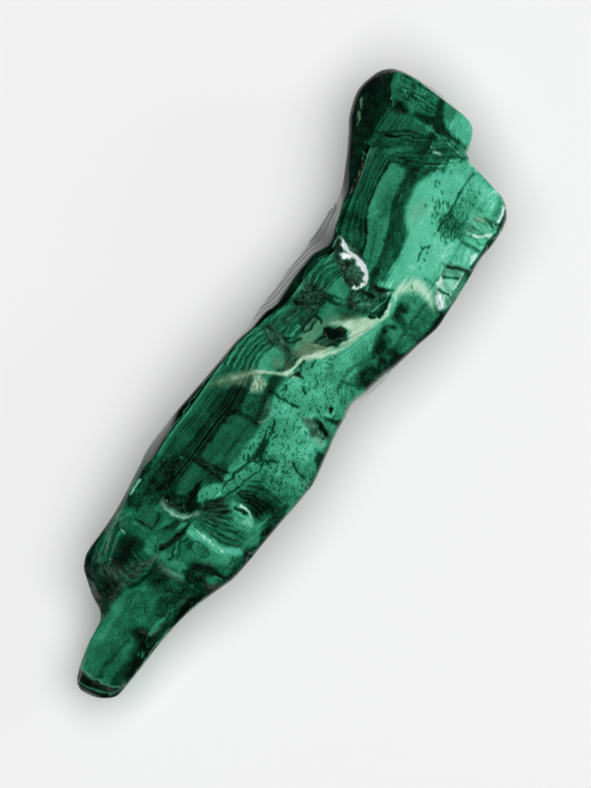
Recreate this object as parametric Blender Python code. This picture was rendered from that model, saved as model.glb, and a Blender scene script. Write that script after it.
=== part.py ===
"""A polished malachite stone about 160 mm long, lying on its flattened back.

The stone lies along X. Its slim, finger-like tip points to -X and its slanting cut end to +X.
+Z is up, out of the polished front face, and the steep dark side face looks to +Y.
The origin is at the middle of its footprint, on the surface it rests on.
Every length below is in millimetres and becomes metres when the mesh is made.
"""

import bmesh
import bpy
import numpy as np

MM = 0.001
COLLECTION_NAME = "malachite_freeform"
STONE_NAME = "malachite_stone"

# How finely the surface is divided: rings along the stone, and points round each ring.
RINGS = 86
SEGMENTS = 56
RING_CROWDING = 0.25
HALF_LENGTH = 80.0

# The outline from above: station, x, y. A cross-section joins the two points of one station,
# square to the length of the stone up to station 56 and slanting with its cut end after that.
DARK_EDGE = (
    (-80.0, -79.8, 3.9), (-79.2, -79.7, 5.9), (-78.2, -78.9, 7.6), (-76.0, -76.0, 9.1),
    (-73.0, -73.0, 9.9), (-68.0, -68.0, 10.4), (-64.5, -64.5, 10.3), (-62.3, -62.4, 11.2),
    (-60.5, -60.6, 14.2), (-58.0, -58.0, 17.5), (-55.5, -55.5, 20.2), (-52.0, -52.0, 21.1),
    (-46.0, -46.0, 20.9), (-41.0, -41.0, 20.7), (-35.0, -35.0, 21.2), (-24.0, -24.0, 21.8),
    (-16.0, -16.0, 20.8), (-8.0, -8.0, 19.1), (0.0, 0.0, 17.8), (8.0, 8.0, 16.4),
    (13.0, 13.0, 15.1), (19.0, 19.0, 15.5), (26.0, 26.0, 15.1), (34.0, 34.0, 14.0),
    (44.0, 44.0, 13.4), (49.0, 49.0, 13.8), (56.0, 56.2, 16.5), (60.0, 61.2, 18.9),
    (63.0, 65.2, 20.9), (67.0, 70.8, 22.1), (70.5, 76.0, 20.7), (72.3, 78.2, 19.1),
    (74.2, 79.3, 17.3), (76.5, 79.8, 15.0), (78.7, 79.9, 12.4), (79.5, 79.9, 10.8),
    (80.0, 79.7, 7.0),
)
LIGHT_EDGE = (
    (-80.0, -79.8, 3.9), (-79.2, -79.2, 2.3), (-78.2, -78.3, 0.5), (-76.0, -76.4, -1.4),
    (-73.0, -73.3, -2.0), (-68.0, -68.0, -2.8), (-60.0, -60.0, -4.0), (-52.0, -52.0, -5.8),
    (-48.0, -48.0, -7.2), (-44.0, -44.0, -9.0), (-39.0, -39.0, -10.9), (-32.0, -32.0, -12.0),
    (-24.0, -24.0, -13.0), (-16.0, -16.0, -14.4), (-11.5, -11.5, -14.8), (-4.0, -4.0, -13.9),
    (3.0, 3.0, -13.2), (8.0, 8.0, -13.7), (13.0, 13.0, -15.6), (20.0, 20.0, -17.2),
    (27.0, 27.0, -19.2), (35.0, 35.0, -21.0), (43.0, 43.0, -21.3), (51.0, 51.0, -21.2),
    (56.0, 55.8, -21.8), (60.0, 59.8, -22.1), (63.0, 62.6, -21.6), (67.0, 66.1, -18.9),
    (69.0, 67.6, -15.0), (70.5, 68.5, -11.6), (72.3, 68.5, -9.0), (74.2, 70.7, -7.2),
    (76.5, 74.6, -5.4), (78.7, 77.9, -2.4), (79.5, 79.0, 1.8), (80.0, 79.7, 7.0),
)

# Heights along the stone: station, z. The tip is slim and lifts clear of the surface.
CROWN_HEIGHT = (
    (-80.0, 15.5), (-72.0, 17.0), (-64.0, 18.0), (-56.0, 20.0), (-48.0, 22.5), (-40.0, 25.0),
    (-30.0, 26.0), (-12.0, 26.0), (8.0, 27.0), (24.0, 26.6), (40.0, 26.0), (58.0, 27.5),
    (72.0, 27.0), (80.0, 25.5),
)
BOTTOM_HEIGHT = (
    (-80.0, 5.5), (-70.0, 4.3), (-60.0, 2.2), (-50.0, 0.2), (-44.0, -0.6), (60.0, -0.6),
    (70.0, 0.2), (80.0, 2.5),
)
# The front face's two edges, given as how far each lies inside the outline and below the crown.
RIDGE_INSET = (
    (-80.0, 1.6), (-66.0, 2.6), (-62.0, 4.0), (-58.0, 7.5), (-50.0, 8.0), (-42.0, 6.0),
    (-34.0, 3.4), (-24.0, 2.2), (-8.0, 1.6), (6.0, 0.8), (12.0, 0.7), (16.0, 1.3),
    (20.0, 2.7), (28.0, 3.1), (33.0, 3.2), (37.5, 4.8), (42.0, 3.3), (48.0, 2.2),
    (56.0, 3.4), (60.0, 4.9), (65.0, 7.2), (69.0, 6.0), (71.5, 2.8), (74.0, 1.2), (80.0, 0.8),
)
RIDGE_DROP = (
    (-80.0, 2.0), (-62.0, 2.6), (-54.0, 4.5), (-44.0, 3.4), (-32.0, 1.4), (0.0, 1.2),
    (20.0, 1.6), (37.0, 2.6), (50.0, 1.6), (66.0, 1.0), (80.0, 1.5),
)
LIGHT_INSET = (
    (-80.0, 1.6), (-66.0, 2.8), (-50.0, 3.2), (-38.0, 4.6), (-24.0, 3.2), (0.0, 2.6),
    (12.0, 5.2), (20.0, 4.6), (34.0, 5.0), (56.0, 4.2), (66.0, 3.2), (74.0, 2.2), (80.0, 1.6),
)
LIGHT_DROP = (
    (-80.0, 2.2), (-50.0, 2.6), (-38.0, 3.4), (-20.0, 1.8), (4.0, 1.6), (20.0, 2.6),
    (44.0, 3.2), (66.0, 2.2), (80.0, 1.8),
)
# Below its two shoulders the stone is widest at these heights, then tucks in to its flat back.
DARK_WIDEST = (
    (-80.0, 10.0), (-60.0, 9.5), (-30.0, 12.0), (10.0, 13.0), (40.0, 11.0), (66.0, 9.5),
    (80.0, 12.0),
)
LIGHT_WIDEST = (
    (-80.0, 10.0), (-50.0, 12.0), (-10.0, 14.0), (12.0, 8.5), (24.0, 11.5), (60.0, 13.5),
    (80.0, 12.0),
)
DARK_TUCK = (
    (-80.0, 3.0), (-66.0, 4.0), (-50.0, 8.0), (0.0, 7.0), (40.0, 5.0), (66.0, 8.0), (80.0, 3.5),
)
LIGHT_TUCK = (
    (-80.0, 3.0), (-60.0, 3.6), (-40.0, 6.0), (0.0, 6.5), (30.0, 8.0), (60.0, 7.5), (80.0, 3.5),
)
# The insets shrink with the sections that are narrower than this, at the two ends.
FULL_WIDTH = 12.0
# The upper light side leans out by this share of its inset before it rounds over the shoulder.
SHOULDER_LEAN = 0.3
SHOULDER_SINK = 2.4

# The share of a ring's points on each stretch, from the middle of the back round by -Y.
STRETCH_SHARES = (0.07, 0.11, 0.11, 0.06, 0.37, 0.11, 0.10, 0.07)
# Corners are rounded by a power, where a higher one is crisper. The ridge between the front
# face and the dark side is the crisp one.
SOFT_CORNERS = 9.0
CRISP_CORNERS = 26.0
RIDGE_CORNER = 5
RIDGE_SPREAD = 0.06
# Where the front face's relief fades out, by how far upward the surface looks.
FRONT_FADE = (0.05, 0.45)
# A swell keeps most of its height up to this share of its size, squared, then fades.
SWELL_EDGE = 0.55
SWELL_STEEPNESS = 1.3
TIP_CAP = 3.4
END_CAP = 3.2

# Relief of the front face, seen from above: x, y, half length, half width, turn in degrees
# from +X, and height, where a hollow's height is negative.
SWELLS = (
    # The lobes behind the finger, and the finger's own two joints.
    (-48.5, 14.0, 7.0, 5.0, 15.0, 1.7), (-39.5, 14.5, 5.6, 5.0, 0.0, 1.3),
    (-57.0, 14.5, 2.6, 5.0, -30.0, 0.9), (-37.0, 9.5, 3.2, 2.6, 0.0, 0.7),
    (-70.0, 3.0, 6.0, 5.0, 0.0, 0.6), (-56.5, 3.0, 5.0, 5.0, 0.0, 0.5),
    (-57.5, -1.6, 4.0, 1.6, -15.0, 0.7), (-43.0, -6.0, 2.4, 2.2, 20.0, 0.9),
    # The knuckle where the finger joins the body: two lumps, a bright ridge and a dome.
    (-45.2, 3.0, 2.8, 5.6, 0.0, 1.0), (-38.6, -0.6, 3.6, 6.0, 10.0, 0.9),
    (-35.3, -1.4, 1.7, 6.4, 4.0, 1.1), (-29.5, -2.4, 3.8, 6.6, 0.0, 0.8),
    (-24.0, -8.8, 5.0, 2.4, -10.0, 0.6), (-16.0, -7.0, 4.0, 4.6, 0.0, 0.5),
    # Gentle waves of the polished face.
    (-12.0, 12.0, 13.0, 5.0, -6.0, 0.6), (4.0, -5.0, 11.0, 5.5, 0.0, 0.5),
    (13.0, 9.0, 7.0, 5.0, -20.0, 0.5), (26.0, 6.0, 5.0, 5.0, 0.0, 0.5),
    (50.0, -6.0, 11.0, 6.5, 0.0, 0.8), (46.0, 7.0, 8.0, 3.0, 15.0, 0.5),
    (63.0, -13.0, 5.0, 5.5, 0.0, 0.6), (76.0, 2.0, 3.0, 8.0, 5.0, 0.8),
    (66.0, 9.0, 5.0, 6.0, 0.0, 0.5),
)
HOLLOWS = (
    # Valleys across the finger.
    (-62.0, 0.0, 1.8, 3.8, 10.0, -1.1), (-48.6, 3.0, 2.0, 6.6, 4.0, -1.6),
    (-52.0, -4.0, 4.0, 1.6, -15.0, -0.7),
    # Beside the crescent lip and between the knuckle's ridge and dome.
    (-30.9, 9.4, 2.3, 5.2, 6.0, -1.8), (-32.6, 0.6, 1.3, 5.0, 4.0, -0.7),
    (-41.0, 5.4, 3.4, 1.0, -18.0, -0.9), (-41.2, -4.6, 1.2, 3.4, 10.0, -0.8),
    # The slot and the dark hollow next to it.
    (-25.2, -4.2, 1.3, 3.0, 12.0, -1.5), (-21.8, -6.6, 2.4, 4.2, 14.0, -1.5),
    # The ragged pit, the two deep hollows and the dents along the light edge.
    (19.4, -0.8, 3.8, 2.1, -48.0, -1.7), (35.4, 3.8, 6.0, 3.0, 45.0, -3.0),
    (31.6, -4.8, 5.2, 3.2, -22.0, -2.2), (-0.6, -10.2, 1.7, 3.2, 10.0, -0.9),
    (24.0, -12.6, 2.9, 2.1, -25.0, -0.9), (32.2, -12.6, 2.9, 2.1, -10.0, -0.9),
    (41.4, -18.2, 4.4, 3.0, 25.0, -1.8), (46.4, -18.6, 2.4, 2.8, -20.0, -1.2),
    (13.0, 3.6, 3.6, 1.4, -20.0, -0.4), (67.0, 2.0, 2.0, 5.0, 25.0, -0.5),
)
# Creases and raised lips: half width, height, then the points that they run through.
CREASES = (
    (1.5, -1.4, ((-58.5, 9.9), (-56.5, 9.9), (-54.0, 8.7), (-50.0, 7.6), (-46.0, 6.9))),
    (1.4, -0.9, ((-10.0, -8.4), (-11.4, -10.4), (-12.2, -14.6))),
    (1.5, -1.2, ((56.4, -16.6), (56.0, -19.4), (56.6, -22.4))),
    (1.6, -1.1, ((73.2, 15.8), (72.2, 11.0), (72.6, 6.0), (72.7, 0.0), (72.0, -6.2))),
    (1.2, -0.9, ((-34.4, -7.0), (-34.2, -12.4))),
    (1.1, -0.6, ((-77.4, 8.0), (-77.8, 4.4), (-77.2, 0.0))),
)
LIPS = (
    (1.3, 1.1, ((-33.0, 13.2), (-34.4, 10.0), (-34.2, 7.0), (-32.6, 4.6))),
    (1.0, 0.6, ((-26.6, -1.6), (-26.7, -6.6))),
    (1.5, 0.8, ((31.0, 1.4), (34.2, -1.6), (37.6, 0.6), (39.4, 3.8), (40.6, 8.2))),
)
# Lumps and dents of the sides and the back: x, y, z, reach all round, and height.
BODY_LUMPS = (
    (-52.0, 21.0, 12.0, 9.0, 1.0), (-38.0, 21.0, 8.0, 9.0, -0.9), (-26.0, 21.0, 15.0, 11.0, 0.8),
    (-4.0, 18.0, 9.0, 12.0, -0.9), (14.0, 15.0, 14.0, 9.0, 0.7), (30.0, 14.0, 8.0, 12.0, -1.0),
    (46.0, 12.0, 17.0, 8.0, -0.7), (66.0, 20.0, 8.0, 11.0, 0.8), (-44.0, -9.0, 10.0, 9.0, 0.8),
    (-30.0, -12.0, 7.0, 9.0, -0.8), (-14.0, -14.0, 14.0, 9.0, 0.7), (2.0, -13.0, 8.0, 9.0, -0.8),
    (18.0, -16.0, 6.0, 9.0, 0.8), (34.0, -20.0, 13.0, 10.0, -0.8), (52.0, -21.0, 9.0, 10.0, 0.8),
    (64.0, -16.0, 5.0, 8.0, -0.8), (72.0, -7.0, 10.0, 5.0, -0.8), (78.0, 8.0, 8.0, 8.0, 0.7),
    (-70.0, 8.0, 8.0, 7.0, -0.6), (-66.0, -2.0, 8.0, 6.0, 0.5), (70.0, 14.0, 3.0, 9.0, -0.8),
)


def smooth_curve(points, at):
    """A smooth curve through (station, value, ...) points, read at the given stations.

    It never swings past its points: where they turn back, the curve is level.
    """
    table = np.array(points)
    knots, values = table[:, 0], table[:, 1:]
    secants = np.diff(values, axis=0) / np.diff(knots)[:, None]
    before, after = secants[:-1], secants[1:]
    same_way = before * after > 0
    bends = np.where(same_way, 2 * before * after / np.where(same_way, before + after, 1), 0)
    slopes = np.concatenate([secants[:1], bends, secants[-1:]])
    left = np.clip(np.searchsorted(knots, at, side="right") - 1, 0, len(knots) - 2)
    span = (knots[left + 1] - knots[left])[..., None]
    part = (at - knots[left])[..., None] / span
    rise = values[left + 1] - values[left]
    start, end = slopes[left] * span - rise, rise - slopes[left + 1] * span
    blend = values[left] + part * rise + part * (1 - part) * ((1 - part) * start + part * end)
    return blend[..., 0] if values.shape[1] == 1 else blend


def stations():
    """The stations of the rings, a little closer together near both ends."""
    share = np.linspace(0.0, 1.0, RINGS + 1)
    eased = share - RING_CROWDING * np.sin(2 * np.pi * share) / (2 * np.pi)
    return HALF_LENGTH * (2 * eased - 1)


def section_corners(at, width):
    """Each ring's corners as (across, height), from the middle of the back round by -Y.

    Across is measured from the light edge, at 0, to the dark edge, at the full width.
    """
    crown = smooth_curve(CROWN_HEIGHT, at)
    bottom = smooth_curve(BOTTOM_HEIGHT, at)
    reach = np.minimum(1.0, width / FULL_WIDTH)
    light_inset = smooth_curve(LIGHT_INSET, at) * reach
    ridge_inset = smooth_curve(RIDGE_INSET, at) * reach
    light_tuck = smooth_curve(LIGHT_TUCK, at) * reach
    dark_tuck = smooth_curve(DARK_TUCK, at) * reach
    shoulder = crown - smooth_curve(LIGHT_DROP, at)
    ridge = crown - smooth_curve(RIDGE_DROP, at)
    corners = (
        ((light_tuck + width - dark_tuck) / 2, bottom),
        (light_tuck, bottom),
        (0 * width, smooth_curve(LIGHT_WIDEST, at)),
        (light_inset * SHOULDER_LEAN, shoulder - SHOULDER_SINK),
        (light_inset, shoulder),
        (width - ridge_inset, ridge),
        (width, smooth_curve(DARK_WIDEST, at)),
        (width - dark_tuck, bottom),
    )
    return np.array(corners).transpose(2, 0, 1)


def ring_positions(corners, width):
    """Points round each ring: its corners joined by straight stretches, then rounded."""
    turns = np.arange(SEGMENTS) / SEGMENTS
    ends = np.concatenate([[0.0], np.cumsum(STRETCH_SHARES)])
    place = np.interp(turns, ends, np.arange(len(ends)))
    stretch = place.astype(int)
    part = (place - stretch)[None, :, None]
    closed = np.concatenate([corners, corners[:, :1]], axis=1)
    straight = closed[:, stretch] * (1 - part) + closed[:, stretch + 1] * part

    middle = (corners.max(axis=1) + corners.min(axis=1)) / 2
    rays = straight - middle[:, None]
    rays /= np.linalg.norm(rays, axis=2, keepdims=True)

    # Each side of the polygon keeps its own outward direction and distance from the middle.
    sides = closed[:, 1:] - closed[:, :-1]
    outward = np.stack([-sides[..., 1], sides[..., 0]], axis=2)
    outward /= np.linalg.norm(outward, axis=2, keepdims=True) + 1e-9
    distance = np.einsum("rsk,rsk->rs", outward, closed[:, :-1] - middle[:, None])
    facing = np.einsum("rpk,rsk->rps", rays, outward) / distance[:, None, :]
    near_ridge = np.exp(-(((turns - ends[RIDGE_CORNER]) / RIDGE_SPREAD) ** 2))
    power = (SOFT_CORNERS + (CRISP_CORNERS - SOFT_CORNERS) * near_ridge)[None, :]
    reach = np.sum(np.maximum(facing[:, :, 1:], 0) ** power[..., None], axis=2) ** (-1 / power)
    rounded = rays * reach[..., None]

    # Rounding draws the sides in, so each ring is stretched back to its outline.
    low, high = rounded[..., 0].min(axis=1), rounded[..., 0].max(axis=1)
    across = (rounded[..., 0] - low[:, None]) / (high - low)[:, None] * width[:, None]
    return across, rounded[..., 1] + middle[:, 1][:, None]


def base_surface():
    """The smooth body of the stone: one grid of points, rings along it and segments round."""
    at = stations()
    dark, light = smooth_curve(DARK_EDGE, at), smooth_curve(LIGHT_EDGE, at)
    width = np.linalg.norm(dark - light, axis=1) + 1e-6
    across, height = ring_positions(section_corners(at, width), width)
    share = (across / width[:, None])[..., None]
    plan = light[:, None] * (1 - share) + dark[:, None] * share

    # The heights close to a point at both ends, along a quarter of an ellipse.
    cap = np.where(at < 0, TIP_CAP, END_CAP)
    closing = np.clip((HALF_LENGTH - np.abs(at)) / cap, 0, 1)
    closing = np.sqrt(1 - (1 - closing) ** 2)[:, None]
    middle = (height.max(axis=1) + height.min(axis=1))[:, None] / 2
    height = middle + (height - middle) * closing
    return np.concatenate([plan, height[..., None]], axis=2)


def outward_normals(grid):
    """Outward directions of the grid's points, from their neighbours along and round."""
    along = np.gradient(grid, axis=0)
    round_ring = np.roll(grid, -1, axis=1) - np.roll(grid, 1, axis=1)
    normal = np.cross(along, round_ring)
    normal /= np.linalg.norm(normal, axis=2, keepdims=True) + 1e-12
    middle = grid.mean(axis=1, keepdims=True)
    inward = np.sum(normal * (grid - middle), axis=(1, 2)) < 0
    normal[inward] *= -1
    return normal


def swelling(x, y, swell):
    """An oval swell of the front face, level in its middle and fading out at its edge."""
    centre_x, centre_y, half_length, half_width, turn, height = swell
    cos, sin = np.cos(np.radians(turn)), np.sin(np.radians(turn))
    along = ((x - centre_x) * cos + (y - centre_y) * sin) / half_length
    across = ((y - centre_y) * cos - (x - centre_x) * sin) / half_width
    return height * np.exp(-(((along**2 + across**2) / SWELL_EDGE) ** SWELL_STEEPNESS))


def distance_to_line(x, y, points):
    """How far each place lies, seen from above, from a line through the points."""
    nearest = np.full(x.shape, np.inf)
    for (x0, y0), (x1, y1) in zip(points, points[1:]):
        run_x, run_y = x1 - x0, y1 - y0
        part = ((x - x0) * run_x + (y - y0) * run_y) / (run_x**2 + run_y**2)
        part = np.clip(part, 0, 1)
        nearest = np.minimum(nearest, np.hypot(x - x0 - part * run_x, y - y0 - part * run_y))
    return nearest


def front_relief(x, y):
    """Height that the front face gains or loses at each place, seen from above."""
    relief = sum(swelling(x, y, swell) for swell in SWELLS + HOLLOWS)
    for half_width, height, points in CREASES + LIPS:
        relief += height * np.exp(-((distance_to_line(x, y, points) / half_width) ** 2))
    return relief


def body_relief(grid):
    """Height that the sides and the back gain or lose, from lumps that reach all round."""
    relief = 0
    for *centre, reach, height in BODY_LUMPS:
        away = np.linalg.norm(grid - np.array(centre), axis=2)
        relief = relief + height * np.exp(-2 * (away / reach) ** 2)
    return relief


def stone_surface():
    """The finished surface: the body with its relief, ground flat where it rests."""
    grid = base_surface()
    normal = outward_normals(grid)
    facing_up = np.clip((normal[..., 2] - FRONT_FADE[0]) / (FRONT_FADE[1] - FRONT_FADE[0]), 0, 1)
    facing_up = facing_up**2 * (3 - 2 * facing_up)
    relief = facing_up * front_relief(grid[..., 0], grid[..., 1])
    relief += (1 - facing_up) * body_relief(grid)
    grid = grid + normal * relief[..., None]
    grid[..., 2] = np.maximum(grid[..., 2], 0.0)
    lowest, highest = grid.min(axis=(0, 1)), grid.max(axis=(0, 1))
    grid[..., :2] -= (lowest + highest)[:2] / 2
    return grid


def make_stone(grid):
    """A sphere whose points are moved to the grid: its poles become the stone's two ends."""
    shape = bmesh.new()
    bmesh.ops.create_uvsphere(shape, u_segments=SEGMENTS, v_segments=RINGS, radius=1.0)
    for vertex in shape.verts:
        x, y, z = vertex.co
        ring = round((0.5 - np.arcsin(np.clip(z, -1, 1)) / np.pi) * RINGS)
        segment = round(np.arctan2(y, x) / (2 * np.pi) * SEGMENTS) % SEGMENTS
        vertex.co = grid[ring, segment] * MM
    mesh = bpy.data.meshes.new(STONE_NAME)
    shape.to_mesh(mesh)
    shape.free()
    mesh.shade_smooth()
    return bpy.data.objects.new(STONE_NAME, mesh)


def malachite_material():
    """Polished malachite: mid green and glossy."""
    material = bpy.data.materials.new("polished_malachite")
    material.use_nodes = True
    shader = material.node_tree.nodes["Principled BSDF"]
    shader.inputs["Base Color"].default_value = (0.02, 0.22, 0.12, 1.0)
    shader.inputs["Roughness"].default_value = 0.15
    shader.inputs["Metallic"].default_value = 0.0
    return material


def main():
    for old in list(bpy.data.objects):
        bpy.data.objects.remove(old)
    collection = bpy.data.collections.new(COLLECTION_NAME)
    bpy.context.scene.collection.children.link(collection)
    stone = make_stone(stone_surface())
    stone.data.materials.append(malachite_material())
    collection.objects.link(stone)


main()
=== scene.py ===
"""The looks of the polished malachite stone: its fine surface, its banding and its gloss.

The stone lies along X, as the frame says: slim tip to -X, slanting cut end to +X, polished
front face up and dark side face to +Y. Lengths are in millimetres until the mesh is made.
A tone says how light the stone is, from 0, black green, to 1, palest green.
"""

import math

import bmesh
import bpy
import numpy as np
from mathutils import Matrix, Vector


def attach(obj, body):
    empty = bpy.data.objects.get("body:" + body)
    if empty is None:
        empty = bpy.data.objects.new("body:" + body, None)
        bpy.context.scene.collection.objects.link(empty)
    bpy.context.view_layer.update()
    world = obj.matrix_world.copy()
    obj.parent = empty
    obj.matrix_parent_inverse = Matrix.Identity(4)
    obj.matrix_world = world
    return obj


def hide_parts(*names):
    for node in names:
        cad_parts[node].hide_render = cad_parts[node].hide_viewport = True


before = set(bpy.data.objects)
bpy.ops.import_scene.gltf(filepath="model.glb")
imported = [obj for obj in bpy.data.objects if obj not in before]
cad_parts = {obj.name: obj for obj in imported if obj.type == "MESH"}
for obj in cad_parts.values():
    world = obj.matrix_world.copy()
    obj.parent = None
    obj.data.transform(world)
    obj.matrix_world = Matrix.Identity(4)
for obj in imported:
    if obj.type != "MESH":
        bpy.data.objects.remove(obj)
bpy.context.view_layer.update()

MM = 0.001
NODE = "malachite_stone"
SKIN = "malachite_skin"

# How finely the surface is divided: rings along the stone, and points round each ring.
RINGS = 520
SEGMENTS = 190
RING_CROWDING = 0.08
HALF_LENGTH = 80

# The outline from above: station, x, y. A cross-section joins the two points of one station,
# square to the length of the stone up to station 56 and slanting with its cut end after that.
DARK_EDGE = (
    (-80, -79.8, 3.9), (-79.2, -79.7, 5.9), (-78.2, -78.9, 7.3), (-76, -76, 8.6), (-73, -73, 9.3),
    (-68, -68, 10), (-64.5, -64.4, 10.1), (-62.3, -61.9, 11.2), (-60.5, -60, 14.2), (-58, -57.4, 17.3),
    (-55.5, -54.9, 19.8), (-52, -51.6, 20.8), (-46, -46, 20.4), (-41, -41, 20.1), (-35, -35, 20.2),
    (-24, -24, 20.5), (-16, -16, 20.2), (-8, -8, 19), (0, 0, 17.7), (8, 8, 16.4), (13, 13, 15.2),
    (19, 19, 15.2), (26, 26, 15.3), (34, 34, 14.4), (44, 44, 13.6), (49, 49, 14), (56, 56.2, 16.5),
    (60, 61.2, 18.9), (63, 65.2, 20.9), (67, 70.8, 22.1), (70.5, 76, 20.7), (72.3, 78.2, 19.1),
    (74.2, 79.3, 17.3), (76.5, 79.8, 15), (78.7, 79.9, 12.4), (79.5, 79.9, 10.8), (80, 79.7, 7),
)
LIGHT_EDGE = (
    (-80, -79.8, 3.9), (-79.2, -79.3, 2), (-78.2, -78.4, 0), (-76, -76.4, -2.1), (-73, -73.3, -2.7),
    (-68, -68, -3.4), (-60, -60, -4.4), (-52, -52, -6.1), (-48, -48, -7.5), (-44, -44, -9.2),
    (-39, -39, -11.2), (-32, -32, -12.4), (-24, -24, -13.6), (-16, -16, -14.9), (-11.5, -11.5, -15.4),
    (-4, -4, -14.7), (3, 3, -14), (8, 8, -14.1), (13, 13, -15.8), (20, 20, -17.6), (27, 27, -19.6),
    (35, 35, -21.8), (43, 43, -21.9), (51, 51, -21.8), (56, 55.8, -22.4), (60, 59.8, -22.7),
    (63, 62.6, -22.3), (67, 66.4, -19.4), (69, 67.8, -15.2), (70.5, 68.7, -11.6), (72, 68.2, -9.6),
    (73, 68.7, -8.5), (73.8, 70.2, -8), (74.6, 71.1, -6.7), (75.6, 73.4, -6.3), (77.4, 76.8, -4.7),
    (78.7, 78, -2.2), (79.5, 78.9, 1.8), (80, 79.7, 7),
)

# Heights along the stone: station, z. The tip is slim and lifts clear of the surface.
CROWN_HEIGHT = (
    (-80, 15.5), (-72, 17), (-64, 18), (-56, 20), (-48, 22.5), (-40, 25), (-30, 26), (-12, 26), (8, 27),
    (24, 26.6), (40, 26), (58, 27.5), (72, 27), (80, 25.5),
)
BOTTOM_HEIGHT = (
    (-80, 5.5), (-70, 4.3), (-60, 2.2), (-50, 0.2), (-44, -0.6), (60, -0.6), (70, 0.2), (80, 2.5),
)
# The front face's two edges, given as how far each lies inside the outline and below the crown.
RIDGE_INSET = (
    (-80, 1), (-66, 1.6), (-62, 3), (-58, 4.6), (-50, 4), (-42, 2.2), (-34, 1.3), (-24, 1.9), (-16, 1.8),
    (-8, 1.2), (4, 0.8), (12, 0.7), (16, 1.3), (20, 2.7), (28, 3.1), (33, 3.2), (37.5, 4.8), (42, 3.3),
    (48, 2.2), (56, 3.4), (60, 4.9), (65, 7.2), (69, 6), (71.5, 2.8), (74, 1.2), (80, 0.8),
)
RIDGE_DROP = (
    (-80, 1.2), (-62, 1.4), (-54, 1.6), (-44, 1.4), (-32, 1), (0, 0.9), (20, 1.6), (37, 2.6), (50, 1.6),
    (66, 1), (80, 1.2),
)
LIGHT_INSET = (
    (-80, 0.6), (-66, 0.4), (-50, 0.4), (-38, 0.5), (-24, 0.5), (0, 0.6), (8, 2.4), (14, 3.2), (20, 1.2),
    (34, 0.6), (56, 0.6), (66, 0.6), (80, 0.6),
)
LIGHT_DROP = (
    (-80, 1.2), (-50, 1.2), (-38, 1.5), (-20, 1), (4, 1), (20, 1.6), (44, 1.6), (66, 1.2), (80, 1),
)
# Below the ridge, how far a second shoulder stands above the straight way to the widest.
DARK_SHOULDER = (
    (-80, 0), (-34, 0), (-27, 2.4), (-15, 2.4), (-8, 0.6), (0, 0), (80, 0),
)
SHOULDER_SHARE = 0.6
# Below its two shoulders the stone is widest at these heights, then tucks in to its flat back.
DARK_WIDEST = (
    (-80, 12), (-70, 14.8), (-62, 15.8), (-56, 17.6), (-50, 18.6), (-42, 21), (-34, 22.8), (-29, 21),
    (-24, 17.5), (-18, 18), (-12, 22), (-6, 23.8), (6, 23.8), (13, 17), (20, 11), (44, 11), (48, 19),
    (52, 23), (56, 23.6), (60, 22.6), (65, 21.2), (69, 21.8), (72, 23.4), (80, 22.6),
)
LIGHT_WIDEST = (
    (-80, 10), (-50, 12), (-10, 14), (12, 8.5), (24, 11.5), (60, 13.5), (80, 12),
)
DARK_TUCK = (
    (-80, 3), (-66, 4), (-50, 8), (0, 7), (40, 5), (66, 8), (80, 3.5),
)
LIGHT_TUCK = (
    (-80, 3), (-60, 3.6), (-40, 6), (0, 6.5), (30, 8), (60, 7.5), (80, 3.5),
)
# The insets shrink with the sections that are narrower than this, at the two ends.
FULL_WIDTH = 12
# Below its shoulder the light side tucks in by this much, where it doesn't bulge out instead.
FULL_UNDERCUT = 1.2
LIGHT_UNDERCUT = (
    (-80, FULL_UNDERCUT), (2, FULL_UNDERCUT), (7, 0), (18, 0), (23, FULL_UNDERCUT), (80, FULL_UNDERCUT),
)
SHOULDER_LEAN = 0.25
SHOULDER_SINK = 1.2

# The share of a ring's points on each stretch, from the middle of the back round by -Y.
STRETCH_SHARES = (0.03, 0.05, 0.05, 0.04, 0.66, 0.05, 0.05, 0.04, 0.03)
# Corners are rounded by a power, where a higher one is crisper. The ridge between the front
# face and the dark side is the crisp one.
SOFT_CORNERS = 26
CRISP_CORNERS = 32
RIDGE_CORNER = 5
RIDGE_SPREAD = 0.06
# Where the front face's relief fades out, by how far upward the surface looks.
FRONT_FADE = (0.05, 0.45)
TIP_CAP = 2.2
END_CAP = 1.6

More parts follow.
